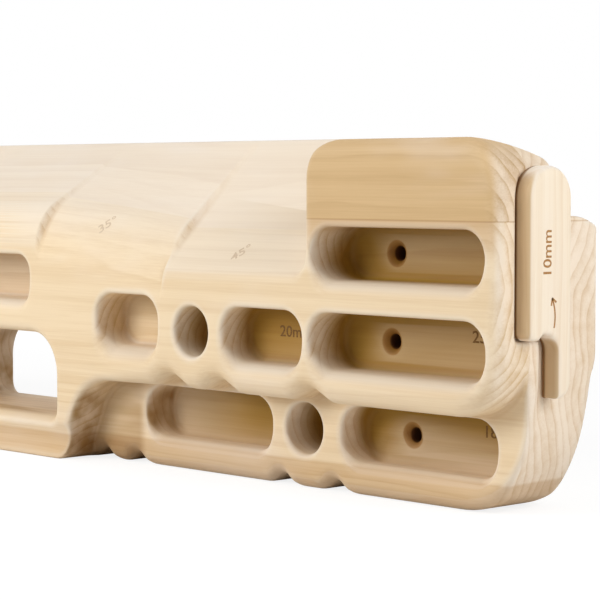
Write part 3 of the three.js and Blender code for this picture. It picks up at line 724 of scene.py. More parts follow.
FAINT_BURN = Burn("faint_burnt_mark", (0.72, 0.58, 0.43), (0.56, 0.42, 0.29))


# Distance fields


def meet(first: np.ndarray, second: np.ndarray, radius: np.ndarray | float) -> np.ndarray:
    """Field of what two solids share, with a round edge where they end together.

    Args:
        first: Field of one solid, negative inside.
        second: Field of the other solid.
        radius: Radius of the edge.

    Returns:
        The field of the shared space.
    """
    over_first = np.maximum(first + radius, 0)
    over_second = np.maximum(second + radius, 0)
    return np.minimum(np.maximum(first, second), -radius) + np.hypot(over_first, over_second)


def join(first: np.ndarray, second: np.ndarray, radius: np.ndarray | float) -> np.ndarray:
    """Field of two solids together, with a fillet of that radius between them."""
    return -meet(-first, -second, radius)


def ease(values: np.ndarray, start: float, end: float) -> np.ndarray:
    """Share from 0 at start to 1 at end, level at both ends."""
    share = np.clip((values - start) / (end - start), 0, 1)
    return share * share * (3 - 2 * share)


@dataclass(frozen=True)
class Corner:
    """A corner of an outline.

    Attributes:
        u: Place across.
        v: Place up.
        radius: Radius that turns the corner.
        edge: Radius of the worked edge there.
    """

    u: float
    v: float
    radius: float = 0.0
    edge: float = 0.0


def rounded(across: np.ndarray, up: np.ndarray, radius: np.ndarray | float) -> np.ndarray:
    """Signed distance to the sides of a rectangle with round corners.

    Args:
        across: How far a place lies beyond the middle of the nearest corner, across.
        up: The same, upwards.
        radius: Radius of the corner.

    Returns:
        The distance, negative inside.
    """
    away = np.hypot(np.maximum(across, 0), np.maximum(up, 0))
    return away + np.minimum(np.maximum(across, up), 0) - radius


def steepness(across: np.ndarray, up: np.ndarray) -> np.ndarray:
    """How far the side of such a rectangle faces up or down, from 0 to 1."""
    across, up = np.maximum(across, 0) ** 2, np.maximum(up, 0) ** 2
    return up / np.maximum(across + up, 1e-6)


@dataclass
class Outline:
    """A closed line through corners, counter-clockwise, each turned by its radius.

    Attributes:
        corners: The corners.
        step_degrees: How far one piece of an arc turns at the most.
        points: The line's points.
        normals: The outward direction at each point.
        edges: Radius of the worked edge at each point.
    """

    corners: list[Corner]
    step_degrees: float = 6.0
    points: np.ndarray = field(init=False)
    normals: np.ndarray = field(init=False)
    edges: np.ndarray = field(init=False)

    def __post_init__(self) -> None:
        """Turns the corners into points."""
        turned: list[tuple[np.ndarray, np.ndarray, float]] = []
        for index, at in enumerate(self.corners):
            before = self.corners[index - 1]
            after = self.corners[(index + 1) % len(self.corners)]
            turned += [(point, normal, at.edge) for point, normal in self._turned(before, at, after)]
        self.points = np.array([point for point, _, _ in turned])
        self.normals = np.array([normal for _, normal, _ in turned])
        self.edges = np.array([edge for _, _, edge in turned])

    def _turned(self, before: Corner, at: Corner, after: Corner) -> list[tuple[np.ndarray, np.ndarray]]:
        """Points of one corner, with their outward directions.

        Args:
            before: The corner before it.
            at: The corner itself.
            after: The corner after it.

        Returns:
            The points of its arc, or the corner itself where it is sharp.
        """
        spot = np.array([at.u, at.v])
        into = spot - [before.u, before.v]
        into = into / np.linalg.norm(into)
        out = np.array([after.u, after.v]) - spot
        out = out / np.linalg.norm(out)
        turn = math.atan2(into[0] * out[1] - into[1] * out[0], float(into @ out))
        outward = np.array([into[1], -into[0]])
        if at.radius == 0 or turn == 0:
            return [(spot, outward)]
        side = math.copysign(1.0, turn)
        centre = spot - into * at.radius * math.tan(abs(turn) / 2) - outward * side * at.radius
        steps = math.ceil(abs(turn) / math.radians(self.step_degrees))
        arc = []
        for step in range(steps + 1):
            angle = turn * step / steps
            cos, sin = math.cos(angle), math.sin(angle)
            normal = np.array([
                outward[0] * cos - outward[1] * sin,
                outward[0] * sin + outward[1] * cos,
            ])
            arc.append((centre + normal * side * at.radius, normal))
        return arc

    def field(self, u: np.ndarray, v: np.ndarray) -> tuple[np.ndarray, np.ndarray]:
        """Signed distance to the line, and the radius of the nearest edge.

        Args:
            u: Places across.
            v: Places up.

        Returns:
            Two arrays over u and v: distances, negative inside, and edge radii.
        """
        across, up = np.meshgrid(u, v, indexing="ij")
        nearest = np.full(across.shape, np.inf)
        edge = np.zeros(across.shape)
        inside = np.zeros(across.shape, bool)
        ends = np.roll(self.points, -1, axis=0)
        edge_ends = np.roll(self.edges, -1)
        for start, end, here, there in zip(self.points, ends, self.edges, edge_ends):
            run = end - start
            length = float(run @ run)
            if length == 0:
                continue
            share = np.clip(((across - start[0]) * run[0] + (up - start[1]) * run[1]) / length, 0, 1)
            away = np.hypot(across - start[0] - share * run[0], up - start[1] - share * run[1])
            closer = away < nearest
            nearest = np.where(closer, away, nearest)
            edge = np.where(closer, here + (there - here) * share, edge)
            if run[1] != 0:
                crosses = (start[1] > up) != (end[1] > up)
                inside ^= crosses & (across < start[0] + (up - start[1]) * run[0] / run[1])
        return np.where(inside, -nearest, nearest), edge


@dataclass
class Grid:
    """A block of space, as three rows of places in millimetres.

    Attributes:
        low: Its first corner.
        high: Its last corner.
        step: The distance from one place to the next.
        x: The row along x.
        y: The row along y.
        z: The row along z.
    """

    low: Point
    high: Point
    step: float
    x: np.ndarray = field(init=False)
    y: np.ndarray = field(init=False)
    z: np.ndarray = field(init=False)

    def __post_init__(self) -> None:
        """Lays the places out along each axis."""
        self.x, self.y, self.z = (
            np.arange(round((high - low) / self.step) + 1) * self.step + low
            for low, high in zip(self.low, self.high)
        )

    def spread(self, part: Part = (slice(None),) * 3) -> tuple[np.ndarray, np.ndarray, np.ndarray]:
        """The three rows or a stretch of each, shaped so that they combine to a block."""
        x, y, z = (row[stretch] for row, stretch in zip((self.x, self.y, self.z), part))
        return x[:, None, None], y[None, :, None], z[None, None, :]

    def part(self, low: list[float], high: list[float]) -> Part:
        """The stretch of each row that lies between two corners.

        Args:
            low: The first corner.
            high: The last corner.

        Returns:
            The three stretches.
        """
        rows = (self.x, self.y, self.z)
        return tuple(
            slice(int(np.searchsorted(row, start)), int(np.searchsorted(row, end)))
            for row, start, end in zip(rows, low, high)
        )

    def first(self) -> np.ndarray:
        """The first place of all."""
        return np.array([self.x[0], self.y[0], self.z[0]])


def sanded(solid: np.ndarray) -> np.ndarray:
    """Takes the sharpness off every edge and leaves flat faces where they are, but for a hair.

    The hair keeps a flat face off the grid's own places, where its cells would shrink to nothing.

    Args:
        solid: Field of the solid.

    Returns:
        The softened field.
    """
    for axis in range(solid.ndim):
        along = np.moveaxis(solid, axis, 0)
        soft = along.copy()
        soft[1:-1] = (along[:-2] + 2 * along[1:-1] + along[2:]) / 4
        solid = np.moveaxis(soft, 0, axis)
    return solid - HAIR


class Skin:
    """The surface of a field, as one point in each cell that it crosses."""

    CELL: list[tuple[int, int, int]] = [(i, j, k) for i in (0, 1) for j in (0, 1) for k in (0, 1)]

    def __init__(self, grid: Grid, solid: np.ndarray) -> None:
        """Finds the points and the faces.

        Args:
            grid: Where the field's values lie.
            solid: The field.
        """
        self.grid = grid
        self.solid = solid
        inside = solid < 0
        shape = np.array(solid.shape) - 1
        corners = [inside[tuple(slice(o, o + n) for o, n in zip(at, shape))] for at in self.CELL]
        mixed = np.logical_or.reduce(corners) & ~np.logical_and.reduce(corners)
        self.cells = np.argwhere(mixed)
        self.number = np.full(tuple(shape), -1, np.int64)
        self.number[mixed] = np.arange(len(self.cells))
        self.points = self._points()
        self.faces = np.concatenate([self._faces(inside, axis) for axis in range(3)])

    def _points(self) -> np.ndarray:
        """Each cell's point: the mean of where its edges are crossed.

        Returns:
            The points, in millimetres.
        """
        values = {at: self.solid[tuple((self.cells + at).T)] for at in self.CELL}
        total = np.zeros((len(self.cells), 3))
        count = np.zeros(len(self.cells))
        for start in self.CELL:
            for axis in range(3):
                if start[axis] == 1:
                    continue
                end = tuple(1 if a == axis else s for a, s in enumerate(start))
                first, second = values[start], values[end]
                crossed = (first < 0) != (second < 0)
                gap = np.where(crossed, first - second, 1)
                share = np.where(crossed, first / gap, 0)
                spot = np.tile(np.array(start, float), (len(self.cells), 1))
                spot[:, axis] += share
                total += spot * crossed[:, None]
                count += crossed
        return (self.cells + total / count[:, None]) * self.grid.step + self.grid.first()

    def _faces(self, inside: np.ndarray, axis: int) -> np.ndarray:
        """Quads round every grid edge along one axis that the surface crosses.

        Args:
            inside: Which places lie in the solid.
            axis: The axis of the edges.

        Returns:
            Four point numbers for each face, turned outwards.
        """
        along = np.moveaxis(inside, axis, 0)
        crossed = along[:-1, 1:-1, 1:-1] != along[1:, 1:-1, 1:-1]
        at, side, up = np.nonzero(crossed)
        leaving = along[:-1, 1:-1, 1:-1][crossed]
        number = np.moveaxis(self.number, axis, 0)
        ring = [
            number[at, side, up],
            number[at, side + 1, up],
            number[at, side + 1, up + 1],
            number[at, side, up + 1],
        ]
        quads = np.stack(ring, axis=1)
        flip = leaving if axis == 1 else ~leaving
        quads[flip] = quads[flip][:, ::-1]
        return quads

    def mesh(self, name: str) -> bpy.types.Mesh:
        """The surface as a mesh.

        Args:
            name: The mesh's name.

        Returns:
            The mesh, in metres.
        """
        mesh = bpy.data.meshes.new(name)
        mesh.vertices.add(len(self.points))
        mesh.vertices.foreach_set("co", (self.points * MILLIMETRE).astype(np.float32).ravel())
        mesh.loops.add(self.faces.size)
        mesh.loops.foreach_set("vertex_index", self.faces.astype(np.int32).ravel())
        mesh.polygons.add(len(self.faces))
        mesh.polygons.foreach_set("loop_start", np.arange(len(self.faces), dtype=np.int32) * 4)
        mesh.update(calc_edges=True)
        return mesh


def thinned(mesh: bpy.types.Mesh, triangles: int) -> bpy.types.Mesh:
    """Takes faces away where the surface is flat.

    Args:
        mesh: The mesh as it was skinned.
        triangles: How many triangles it may keep.

    Returns:
        A lighter mesh with smooth faces.
    """
    share = triangles / (2 * len(mesh.polygons))
    holder = bpy.data.objects.new(mesh.name, mesh)
    bpy.context.scene.collection.objects.link(holder)
    if share < 1:
        modifier = holder.modifiers.new("thin", "DECIMATE")
        modifier.ratio = share
    graph = bpy.context.evaluated_depsgraph_get()
    light = bpy.data.meshes.new_from_object(holder.evaluated_get(graph))
    bpy.data.objects.remove(holder)
    light.shade_smooth()
    return light


def shaded_by(mesh: bpy.types.Mesh, grid: Grid, solid: np.ndarray) -> None:
    """Gives each point of a mesh the normal of the field under it.

    Args:
        mesh: A mesh on the field's surface, in metres.
        grid: Where the field's values lie.
        solid: The field.
    """
    co = np.empty(len(mesh.vertices) * 3, np.float32)
    mesh.vertices.foreach_get("co", co)
    place = (co.reshape(-1, 3) / MILLIMETRE - grid.first()) / grid.step
    normals = np.empty_like(place)
    for axis in range(3):
        aside = np.zeros(3)
        aside[axis] = 1
        normals[:, axis] = sampled(solid, place + aside) - sampled(solid, place - aside)
    normals /= np.maximum(np.linalg.norm(normals, axis=1, keepdims=True), 1e-9)
    mesh.normals_split_custom_set_from_vertices(normals.astype(np.float32))
    # How round and how closed in each point is, for the wood's painted shade and highlight.
    measures = {CURVATURE: rounding(solid, place, CURVATURE_REACH / grid.step), SHELTERED: shelter(grid, solid, place)}
    for name, values in measures.items():
        layer = mesh.attributes.new(name, "FLOAT", "POINT")
        layer.data.foreach_set("value", values.astype(np.float32))


def rounding(solid: np.ndarray, place: np.ndarray, reach: float) -> np.ndarray:
    """How strongly a field rounds at each point: above 0 on an edge, below in a crease.

    Args:
        solid: The field.
        place: Points, counted in steps from the field's first corner.
        reach: How far the field is looked at, in steps.

    Returns:
        One value for each point, about 1 where a sharp edge turns a quarter.
    """
    total = np.zeros(len(place))
    for axis in range(3):
        aside = np.zeros(3)
        aside[axis] = reach
        total += sampled(solid, place + aside) + sampled(solid, place - aside)
    return total / (3.0 * reach)


def shelter(grid: Grid, solid: np.ndarray, place: np.ndarray) -> np.ndarray:
    """How much wood stands round each point, so how little light and a sanding pad reach it.

    Args:
        grid: Where the field's values lie.
        solid: The field.
        place: Points, counted in steps from the field's first corner.

    Returns:
        One value for each point, 0 on a flat or round face and 1 deep in a narrow hole.
    """
    coarse = max(1, round(SHELTER_CELL / grid.step))
    half = SHELTER_CELLS
    pad = 2 * half + 2
    wood = np.pad((solid[::coarse, ::coarse, ::coarse] < 0).astype(float), pad)
    for _ in range(2):
        for axis in range(3):
            total = np.moveaxis(np.cumsum(wood, axis=axis), axis, 0)
            mean = np.zeros_like(total)
            mean[half + 1:-half] = (total[2 * half + 1:] - total[:-2 * half - 1]) / (2 * half + 1)
            wood = np.moveaxis(mean, 0, axis)
    return np.clip(2 * sampled(wood, place / coarse + pad) - 1, 0, 1)


def sampled(solid: np.ndarray, place: np.ndarray) -> np.ndarray:
    """The field between its places.

    Args:
        solid: The field.
        place: Points, counted in steps from the field's first corner.

    Returns:
        One value for each point.
    """
    top = np.array(solid.shape) - 2
    base = np.clip(np.floor(place).astype(int), 0, top)
    share = np.clip(place - base, 0, 1)
    total = np.zeros(len(place))
    for at in Skin.CELL:
        weight = np.prod(np.where(np.array(at) == 1, share, 1 - share), axis=1)
        total += weight * solid[tuple((base + at).T)]
    return total


# Pieces of the object


@dataclass
class Pocket:
    """A blind finger pocket: crisp on top, its lower rim worked round.

    Attributes:
        left: Inner end.
        right: Outer end.
        floor: Height of its floor.
        height: Height of its mouth.
        depth: Depth from the face that it is cut into.
        face: Place of that face along y.
        corner: Radius of its corners.
        rim_top: Radius of the upper rim.
        rim_side: Radius of the rims at the ends.
        rim_lower: Radius of the lower rim.
        floor_fillet: Radius between the back wall and the sides.
    """

    left: float
    right: float
    floor: float
    height: float
    depth: float
    face: float
    corner: float = 12.4
    rim_top: float = 1.5
    rim_side: float = 2.5
    rim_lower: float = 8.0
    floor_fillet: float = 2.5

    def cut(self, grid: Grid, solid: np.ndarray) -> None:
        """Cuts the pocket out of a field in place.

        Args:
            grid: Where the field's values lie.
            solid: The field.
        """
        reach = self.rim_lower + 2 * grid.step
        low = [self.left - reach, grid.y[0], self.floor - reach]
        high = [self.right + reach, self.face + self.depth + reach, self.floor + self.height + reach]
        part = grid.part(low, high)
        x, y, z = grid.spread(part)
        across = np.abs(x - (self.left + self.right) / 2) - (self.right - self.left) / 2 + self.corner
        up = np.abs(z - self.floor - self.height / 2) - self.height / 2 + self.corner
        worked = np.where(z > self.floor + self.height / 2, self.rim_top, self.rim_lower)
        rim = self.rim_side + (worked - self.rim_side) * steepness(across, up)
        void = meet(rounded(across, up, self.corner), y - self.face - self.depth, self.floor_fillet)
        solid[part] = meet(solid[part], -void, rim)


@dataclass(frozen=True)
class MagnetHoles:
    """The two blind holes for disc magnets in a seat or an insert.

    Attributes:
        y: Their place from the front to the wall.
        heights: Their heights.
        radius: Their radius.
        depth: Their depth.
    """

    y: float = -6.8
    heights: tuple[float, float] = (140.0, 94.0)
    radius: float = 4.3
    depth: float = 3.3

    def cut(self, solid: np.ndarray, deep: np.ndarray, y: np.ndarray, z: np.ndarray) -> np.ndarray:
        """Cuts the holes.

        Args:
            solid: Field of the solid.
            deep: How deep each place lies under the face that they open in.
            y: Places from the front to the wall.
            z: Places up.

        Returns:
            The field with the holes.
        """
        for height in self.heights:
            away = np.hypot(y - self.y, z - height)
            solid = np.maximum(solid, -np.maximum(away - self.radius, deep - self.depth))
        return solid


@dataclass
class Board:
    """The milled board.

    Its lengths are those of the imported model. The slopers' angles are in
    degrees; the inner sloper steepens along its length.
    """

    length: float = 750.0
    depth: float = 68.0
    height: float = 168.5
    back_edge: float = 2.5
    top_corner: float = 24.0
    top_edge: float = 8.0
    end_edge: float = 4.0
    end_edge_height: float = 105.0
    lip: float = 44.5
    lip_edge: float = 9.0
    lip_corner: float = 28.0
    lip_scallop: tuple[float, float] = (28.0, 7.0)
    middle: float = 68.0
    middle_flare: float = 20.0
    middle_corner: float = 8.0
    cove: float = 30.0
    cove_edge: float = 4.0
    groove: float = 16.0
    toe: float = 2.0
    setback: float = 21.0
    lower_corner: float = 43.0
    lower_end_edge: float = 2.0
    lower_edge: float = 8.0
    lower_top: float = 98.0
    lower_top_corner: float = 18.0
    relief_shoulder: float = 69.0
    relief_rise: float = 2.5
    relief_radius: float = 12.0
    relief_cove: tuple[float, float] = (8.0, 3.4)
    relief_back: float = 7.5
    foot_scallop: tuple[float, float] = (20.0, 7.0)
    first_foot: float = 7.0
    scallop_tip: float = 8.0
    scallop_shoulder: float = 9.0
    seam: float = 1.2
    seam_back: Span = (-10.0, -4.0)
    seam_top: Span = (70.0, 76.0)
    bar_top: float = 22.5
    opening: tuple[float, float] = (128.0, 44.0)
    opening_corners: tuple[float, float] = (22.0, 7.0)
    opening_rim: float = 5.0
    opening_back_rim: float = 3.0
    bar_rim: float = 10.0
    sloper_setback: float = 2.0
    sloper_limit: float = 257.0
    slopes: tuple[float, float, float, float] = (31.5, 34.0, 42.0, 45.0)
    noses: tuple[float, float, float] = (13.0, 19.0, 2.0)
    steps: tuple[float, float] = (49.0, 152.0)
    step_width: float = 3.5
    sloper_cove: float = 8.0
    sloper_cove_from: float = -6.0
    jug_height: float = 166.5
    jug_corner: float = 18.0
    jug_lip: float = 38.5
    jug_fall: float = 10.0
    jug_crown: float = 3.0
    jug_floor: float = 132.0
    jug_floor_radius: float = 8.0
    jug_inner_radius: float = 3.0
    jug_back_edge: float = 4.0
    screw_from_end: float = 86.0
    screw_radius: float = 3.25
    sink_radius: float = 6.0
    sink_depth: float = 3.0
    seat_depth: float = 3.0
    seat_near: float = -21.6
    seat_far: float = 8.0
    seat_ledge: float = 78.5
    seat_ledge_length: float = 16.0
    seat_top: float = 154.8
    small_corner: float = 1.5
    magnet_holes: MagnetHoles = MagnetHoles()
    grain_step: float = 1.0
    triangles: int = 190_000
    margin: float = 3.0
    pockets: dict[str, Pocket] = field(init=False)

    def __post_init__(self) -> None:
        """Lays out the pockets of the right half, row by row."""
        face = self.front
        low = face + self.setback
        one_finger = {"corner": 12.5, "rim_side": 1.5, "rim_lower": 3.0}
        self.pockets = {
            "upper": Pocket(260, 367, 101.5, 25, 28, face, rim_side=1.5),
            "wide": Pocket(258.5, 367, 60, 27, 25, face),
            "three": Pocket(197.5, 253.5, 60, 27, 20, face),
            "mono": Pocket(162.5, 187.5, 61, 25, 30, face, **one_finger),
            "two": Pocket(100, 149, 63, 27, 20, face, rim_lower=12.0),
            "low_wide": Pocket(259.5, 356.5, 15.5, 27, 18, low, rim_lower=7.0),
            "low_mono": Pocket(221.5, 246.5, 16.5, 25, 30, low, **one_finger),
            "low_long": Pocket(116, 211, 15.5, 27, 18, low, rim_lower=7.0),
            "centre": Pocket(-42, 42, 83.5, 24.5, 25, face, corner=10.0),
        }

    @property
    def front(self) -> float:
        """Place of the front face."""
        return -self.depth / 2

    @property
    def back(self) -> float:
        """Place of the face that lies on the wall."""
        return self.depth / 2

    @property
    def end(self) -> float:
        """Place of the right end."""
        return self.length / 2

    def _scallop(self, middle: float, size: tuple[float, float], height: float, edge: float) -> list[Corner]:
        """The three corners of a scallop that rises from a lower edge.

        Args:
            middle: Its middle along the board.
            size: Its width and its rise.
            height: Height of the lower edge.
            edge: Radius of the worked edge there.

        Returns:
            The corners.
        """
        width, rise = size
        return [
            Corner(middle - width / 2, height, self.scallop_shoulder, edge),
            Corner(middle, height + rise, self.scallop_tip, edge),
            Corner(middle + width / 2, height, self.scallop_shoulder, edge),
        ]

    def _rib(self, inner: str, outer: str) -> float:
        """The middle of the rib between two pockets."""
        return (self.pockets[inner].right + self.pockets[outer].left) / 2

    def _front_outline(self) -> Outline:
        """Outline of the front part, whose left half runs on straight.

        Returns:
            The outline, x across and z up.
        """
        jug_step = self.sloper_limit + self.jug_inner_radius
        scallops = [
            corner
            for pair in (("two", "mono"), ("mono", "three"), ("three", "wide"))
            for corner in self._scallop(self._rib(*pair), self.lip_scallop, self.lip, self.lip_edge)
        ]
        return Outline([
            Corner(-self.end, 0, 0, self.cove_edge),
            Corner(self.middle, 0, self.middle_corner, self.cove_edge),
            Corner(self.middle + self.middle_flare, self.lip, self.cove, self.cove_edge),
            *scallops,
            Corner(self.end, self.lip, self.lip_corner, self.lip_edge),
            Corner(self.end, self.end_edge_height, 0, self.end_edge),
            Corner(self.end, self.jug_height, self.top_corner, self.top_edge),
            Corner(jug_step, self.jug_height, 0, self.top_edge),
            Corner(jug_step, self.height, 0, self.back_edge),
            Corner(-self.end, self.height, 0, self.back_edge),
        ])

    def _lower_outline(self) -> Outline:
        """Outline of the set-back part with its scalloped feet.

        Returns:
            The outline, x across and z up.
        """
        width = self.foot_scallop[0]
        first = self.middle + width / 2
        middles = [
            first,
            first + width + self.first_foot,
            self._rib("low_long", "low_mono"),
            self._rib("low_mono", "low_wide"),
        ]
        feet = [
            corner
            for middle in middles
            for corner in self._scallop(middle, self.foot_scallop, 0, 0)
        ]
        outline = Outline([
            Corner(-self.end, 0),
            *feet,
            Corner(self.end, 0, self.lower_corner),
            Corner(self.end, self.lower_top, self.lower_top_corner),
            Corner(-self.end, self.lower_top),
        ])
        sideways = outline.normals[:, 0] ** 2
        outline.edges = self.lower_edge + (self.lower_end_edge - self.lower_edge) * sideways
        return outline

    def _blank(self, grid: Grid) -> np.ndarray:
        """Field of the two thicknesses together, with a small fillet where the upper one ends below.

        Args:
            grid: Where the field's values lie.

        Returns:
            The field.
        """
        _, y, z = grid.spread()
        shape, edge = self._front_outline().field(grid.x, grid.z)
        thick = meet(shape[:, None, :], self.front - y, edge[:, None, :])
        thick = meet(thick, y - self.back, self.back_edge)
        shape, edge = self._lower_outline().field(grid.x, grid.z)
        low = meet(shape[:, None, :], self.front + self.setback - y, edge[:, None, :])
        low = meet(low, y - self.back, self.lower_edge)
        near_seam = (1 - ease(y, *self.seam_back)) * (1 - ease(z, *self.seam_top))
        return join(thick, low, np.maximum(self.seam * near_seam, 0.01))

    def _cut_relief(self, grid: Grid, solid: np.ndarray) -> np.ndarray:
        """Draws the lower end in behind its front edge, under a sloping shoulder.

        Args:
            grid: Where the field's values lie.
            solid: The field.

        Returns:
            The field after it.
        """
        x, y, z = grid.spread()
        face = self.front + self.setback
        width, inset = self.relief_cove
        taper = (self.relief_back - inset) / (self.back - face - width)
        cove_end = face + width
        drawn_in = np.where(y < cove_end, (y - face) * inset / width, inset + (y - cove_end) * taper)
        drawn_in = np.maximum(drawn_in, -inset)
        radius = self.lower_corner
        side = rounded(x - self.end + drawn_in + radius, radius - z, radius)
        side = meet(side, y - self.back, self.lower_edge)
        rise = math.hypot(self.relief_rise, 1)
        shoulder = ((x - self.end) * self.relief_rise + self.relief_shoulder - z) / rise
        kept = join(side, shoulder, self.relief_radius)
        return np.maximum(solid, np.where(x > self.end - 2 * radius, kept, solid))

    def _top(self, grid: Grid) -> np.ndarray:
        """Field of what the slopers and the jugs leave standing.

        Args:
            grid: Where the field's values lie.

        Returns:
            The field.
        """
        x, y, z = grid.spread()
        first, second = self.steps
        down_first = np.clip((x - first) / self.step_width, 0, 1)
        down_second = np.clip((x - second) / self.step_width, 0, 1)
        share_first = np.sqrt(1 - (1 - down_first) ** 2)
        share_second = np.sqrt(1 - (1 - down_second) ** 2)
        along = np.clip((x - first - self.step_width) / (second - first - self.step_width), 0, 1)
        centre, inner, inner_end, outer = (math.radians(slope) for slope in self.slopes)
        lean = (
            centre
            + (inner - centre) * share_first
            + (inner_end - inner) * along
            + (outer - inner_end) * share_second
        )
        nose = (
            self.noses[0]
            + (self.noses[1] - self.noses[0]) * share_first
            + (self.noses[2] - self.noses[1]) * share_second
        )
        crest = self.back - self.sloper_setback
        plane = (z - self.height) * np.cos(lean) + (crest - y) * np.sin(lean)
        sloper = meet(self.front - y, plane, nose)
        sloper = np.maximum(sloper, x - self.sloper_limit - grid.step / 2)

        lip_back = self.front + self.jug_lip
        fall_start = self.front + self.top_edge
        run = np.clip((y - fall_start) / (lip_back - fall_start), 0, 1)
        crown = self.jug_height - 2 * self.jug_crown * run * (1 - run) - self.jug_fall * run**2
        jug = meet(self.sloper_limit - x, z - crown, self.jug_corner)
        jug = meet(jug, y - lip_back, self.jug_inner_radius)

        run_out = (y - self.back + self.jug_back_edge + z - self.jug_floor) / math.sqrt(2)
        floor = meet(z - self.jug_floor, run_out, self.jug_floor_radius)
        floor = np.maximum(floor, np.maximum(lip_back - grid.step - y, self.sloper_limit - grid.step - x))

        jug = join(jug, floor, self.jug_floor_radius)
        tighter = self.jug_inner_radius - self.sloper_cove
        blend = self.sloper_cove + tighter * ease(y, self.sloper_cove_from, lip_back)
        return join(sloper, jug, blend)

    def _cut_bar(self, grid: Grid, solid: np.ndarray) -> np.ndarray:
        """Opens the space over the pull-up bar and hollows the bar's front.

        Args:
            grid: Where the field's values lie.
            solid: The field.

        Returns:
            The field after it.
        """
        x, y, z = grid.spread()
        half, height = self.opening[0] / 2, self.opening[1]
        top_corner, lower_corner = self.opening_corners
        middle = self.bar_top + height / 2
        corner = np.where(z > middle, top_corner, lower_corner)
        across = np.abs(x) - half + corner
        up = np.abs(z - middle) - height / 2 + corner
        worked = np.where(z > middle, self.opening_rim, self.bar_rim)
        rim = self.opening_rim + (worked - self.opening_rim) * steepness(across, up)
        rim = np.where(y < 0, rim, self.opening_back_rim)
        solid = meet(solid, -rounded(across, up, corner), rim)
        up_bar = np.clip(z / (self.bar_top - self.opening_back_rim), 0, 1)
        hollow = self.toe * (1 - up_bar) ** 2 + self.groove * up_bar * (1 - up_bar)
        hollow = np.where(x < self.middle + self.middle_flare, hollow, 0)
        return np.maximum(solid, np.where(up_bar < 1, self.front + hollow - y, solid))

    def _cut_screws(self, grid: Grid, solid: np.ndarray) -> None:
        """Cuts the countersunk screw holes in the back walls of the outer pockets.

        Args:
            grid: Where the field's values lie.
            solid: The field.
        """
        for name in ("upper", "wide", "low_wide"):
            pocket = self.pockets[name]
            wall = pocket.face + pocket.depth
            at_x = self.end - self.screw_from_end
            at_z = pocket.floor + pocket.height / 2
            reach = self.sink_radius + 2 * grid.step
            part = grid.part([at_x - reach, wall - reach, at_z - reach],
                             [at_x + reach, grid.y[-1] + 1, at_z + reach])
            x, y, z = grid.spread(part)
            away = np.hypot(x - at_x, z - at_z)
            down = np.clip((y - wall) / self.sink_depth, 0, 1)
            radius = self.sink_radius + (self.screw_radius - self.sink_radius) * down
            solid[part] = np.maximum(solid[part], np.maximum(radius - away, wall - 1 - y))

    def _cut_seat(self, grid: Grid, solid: np.ndarray) -> None:
        """Cuts the seat of the insert and the two magnet holes in it.

        Args:
            grid: Where the field's values lie.
            solid: The field.
        """
        part = grid.part([self.end - 4 * self.seat_depth, grid.y[0], grid.z[0]],
                         [grid.x[-1] + 1, grid.y[-1] + 1, grid.z[-1] + 1])
        x, y, z = grid.spread(part)
        round_top = (self.seat_far - self.seat_near) / 2
        ledge_end = self.seat_near + self.seat_ledge_length
        shape, _ = Outline([
            Corner(self.seat_near, self.seat_ledge, self.small_corner),
            Corner(ledge_end, self.seat_ledge),
            Corner(ledge_end, -self.height),
            Corner(self.seat_far, -self.height),
            Corner(self.seat_far, self.seat_top, round_top),
            Corner(self.seat_near, self.seat_top, round_top),
        ]).field(y.ravel(), z.ravel())
        past_floor = self.end - self.seat_depth - x
        cut = np.maximum(solid[part], -np.maximum(shape[None, :, :], past_floor))
        solid[part] = self.magnet_holes.cut(cut, past_floor, y, z)

    def build(self) -> bpy.types.Object:
        """Works the right half, mirrors it and skins the whole board.

        Returns:
            The board.
        """
        step = self.grain_step
        half = Grid(
            (0, self.front - self.margin, -self.margin),
            (self.end + self.margin, self.back + self.margin, self.height + self.margin),
            step,
        )
        solid = self._blank(half)
        solid = self._cut_relief(half, solid)
        solid = np.maximum(solid, self._top(half))
        solid = self._cut_bar(half, solid)
        for pocket in self.pockets.values():
            pocket.cut(half, solid)
        self._cut_screws(half, solid)
        self._cut_seat(half, solid)
        whole = Grid((-half.x[-1], half.y[0], half.z[0]), (half.x[-1], half.y[-1], half.z[-1]), step)
        solid = np.concatenate([solid[:0:-1], solid])
        solid = sanded(solid)
        mesh = thinned(Skin(whole, solid).mesh("board_milled"), self.triangles)
        shaded_by(mesh, whole, solid)
        return bpy.data.objects.new("board_milled", mesh)


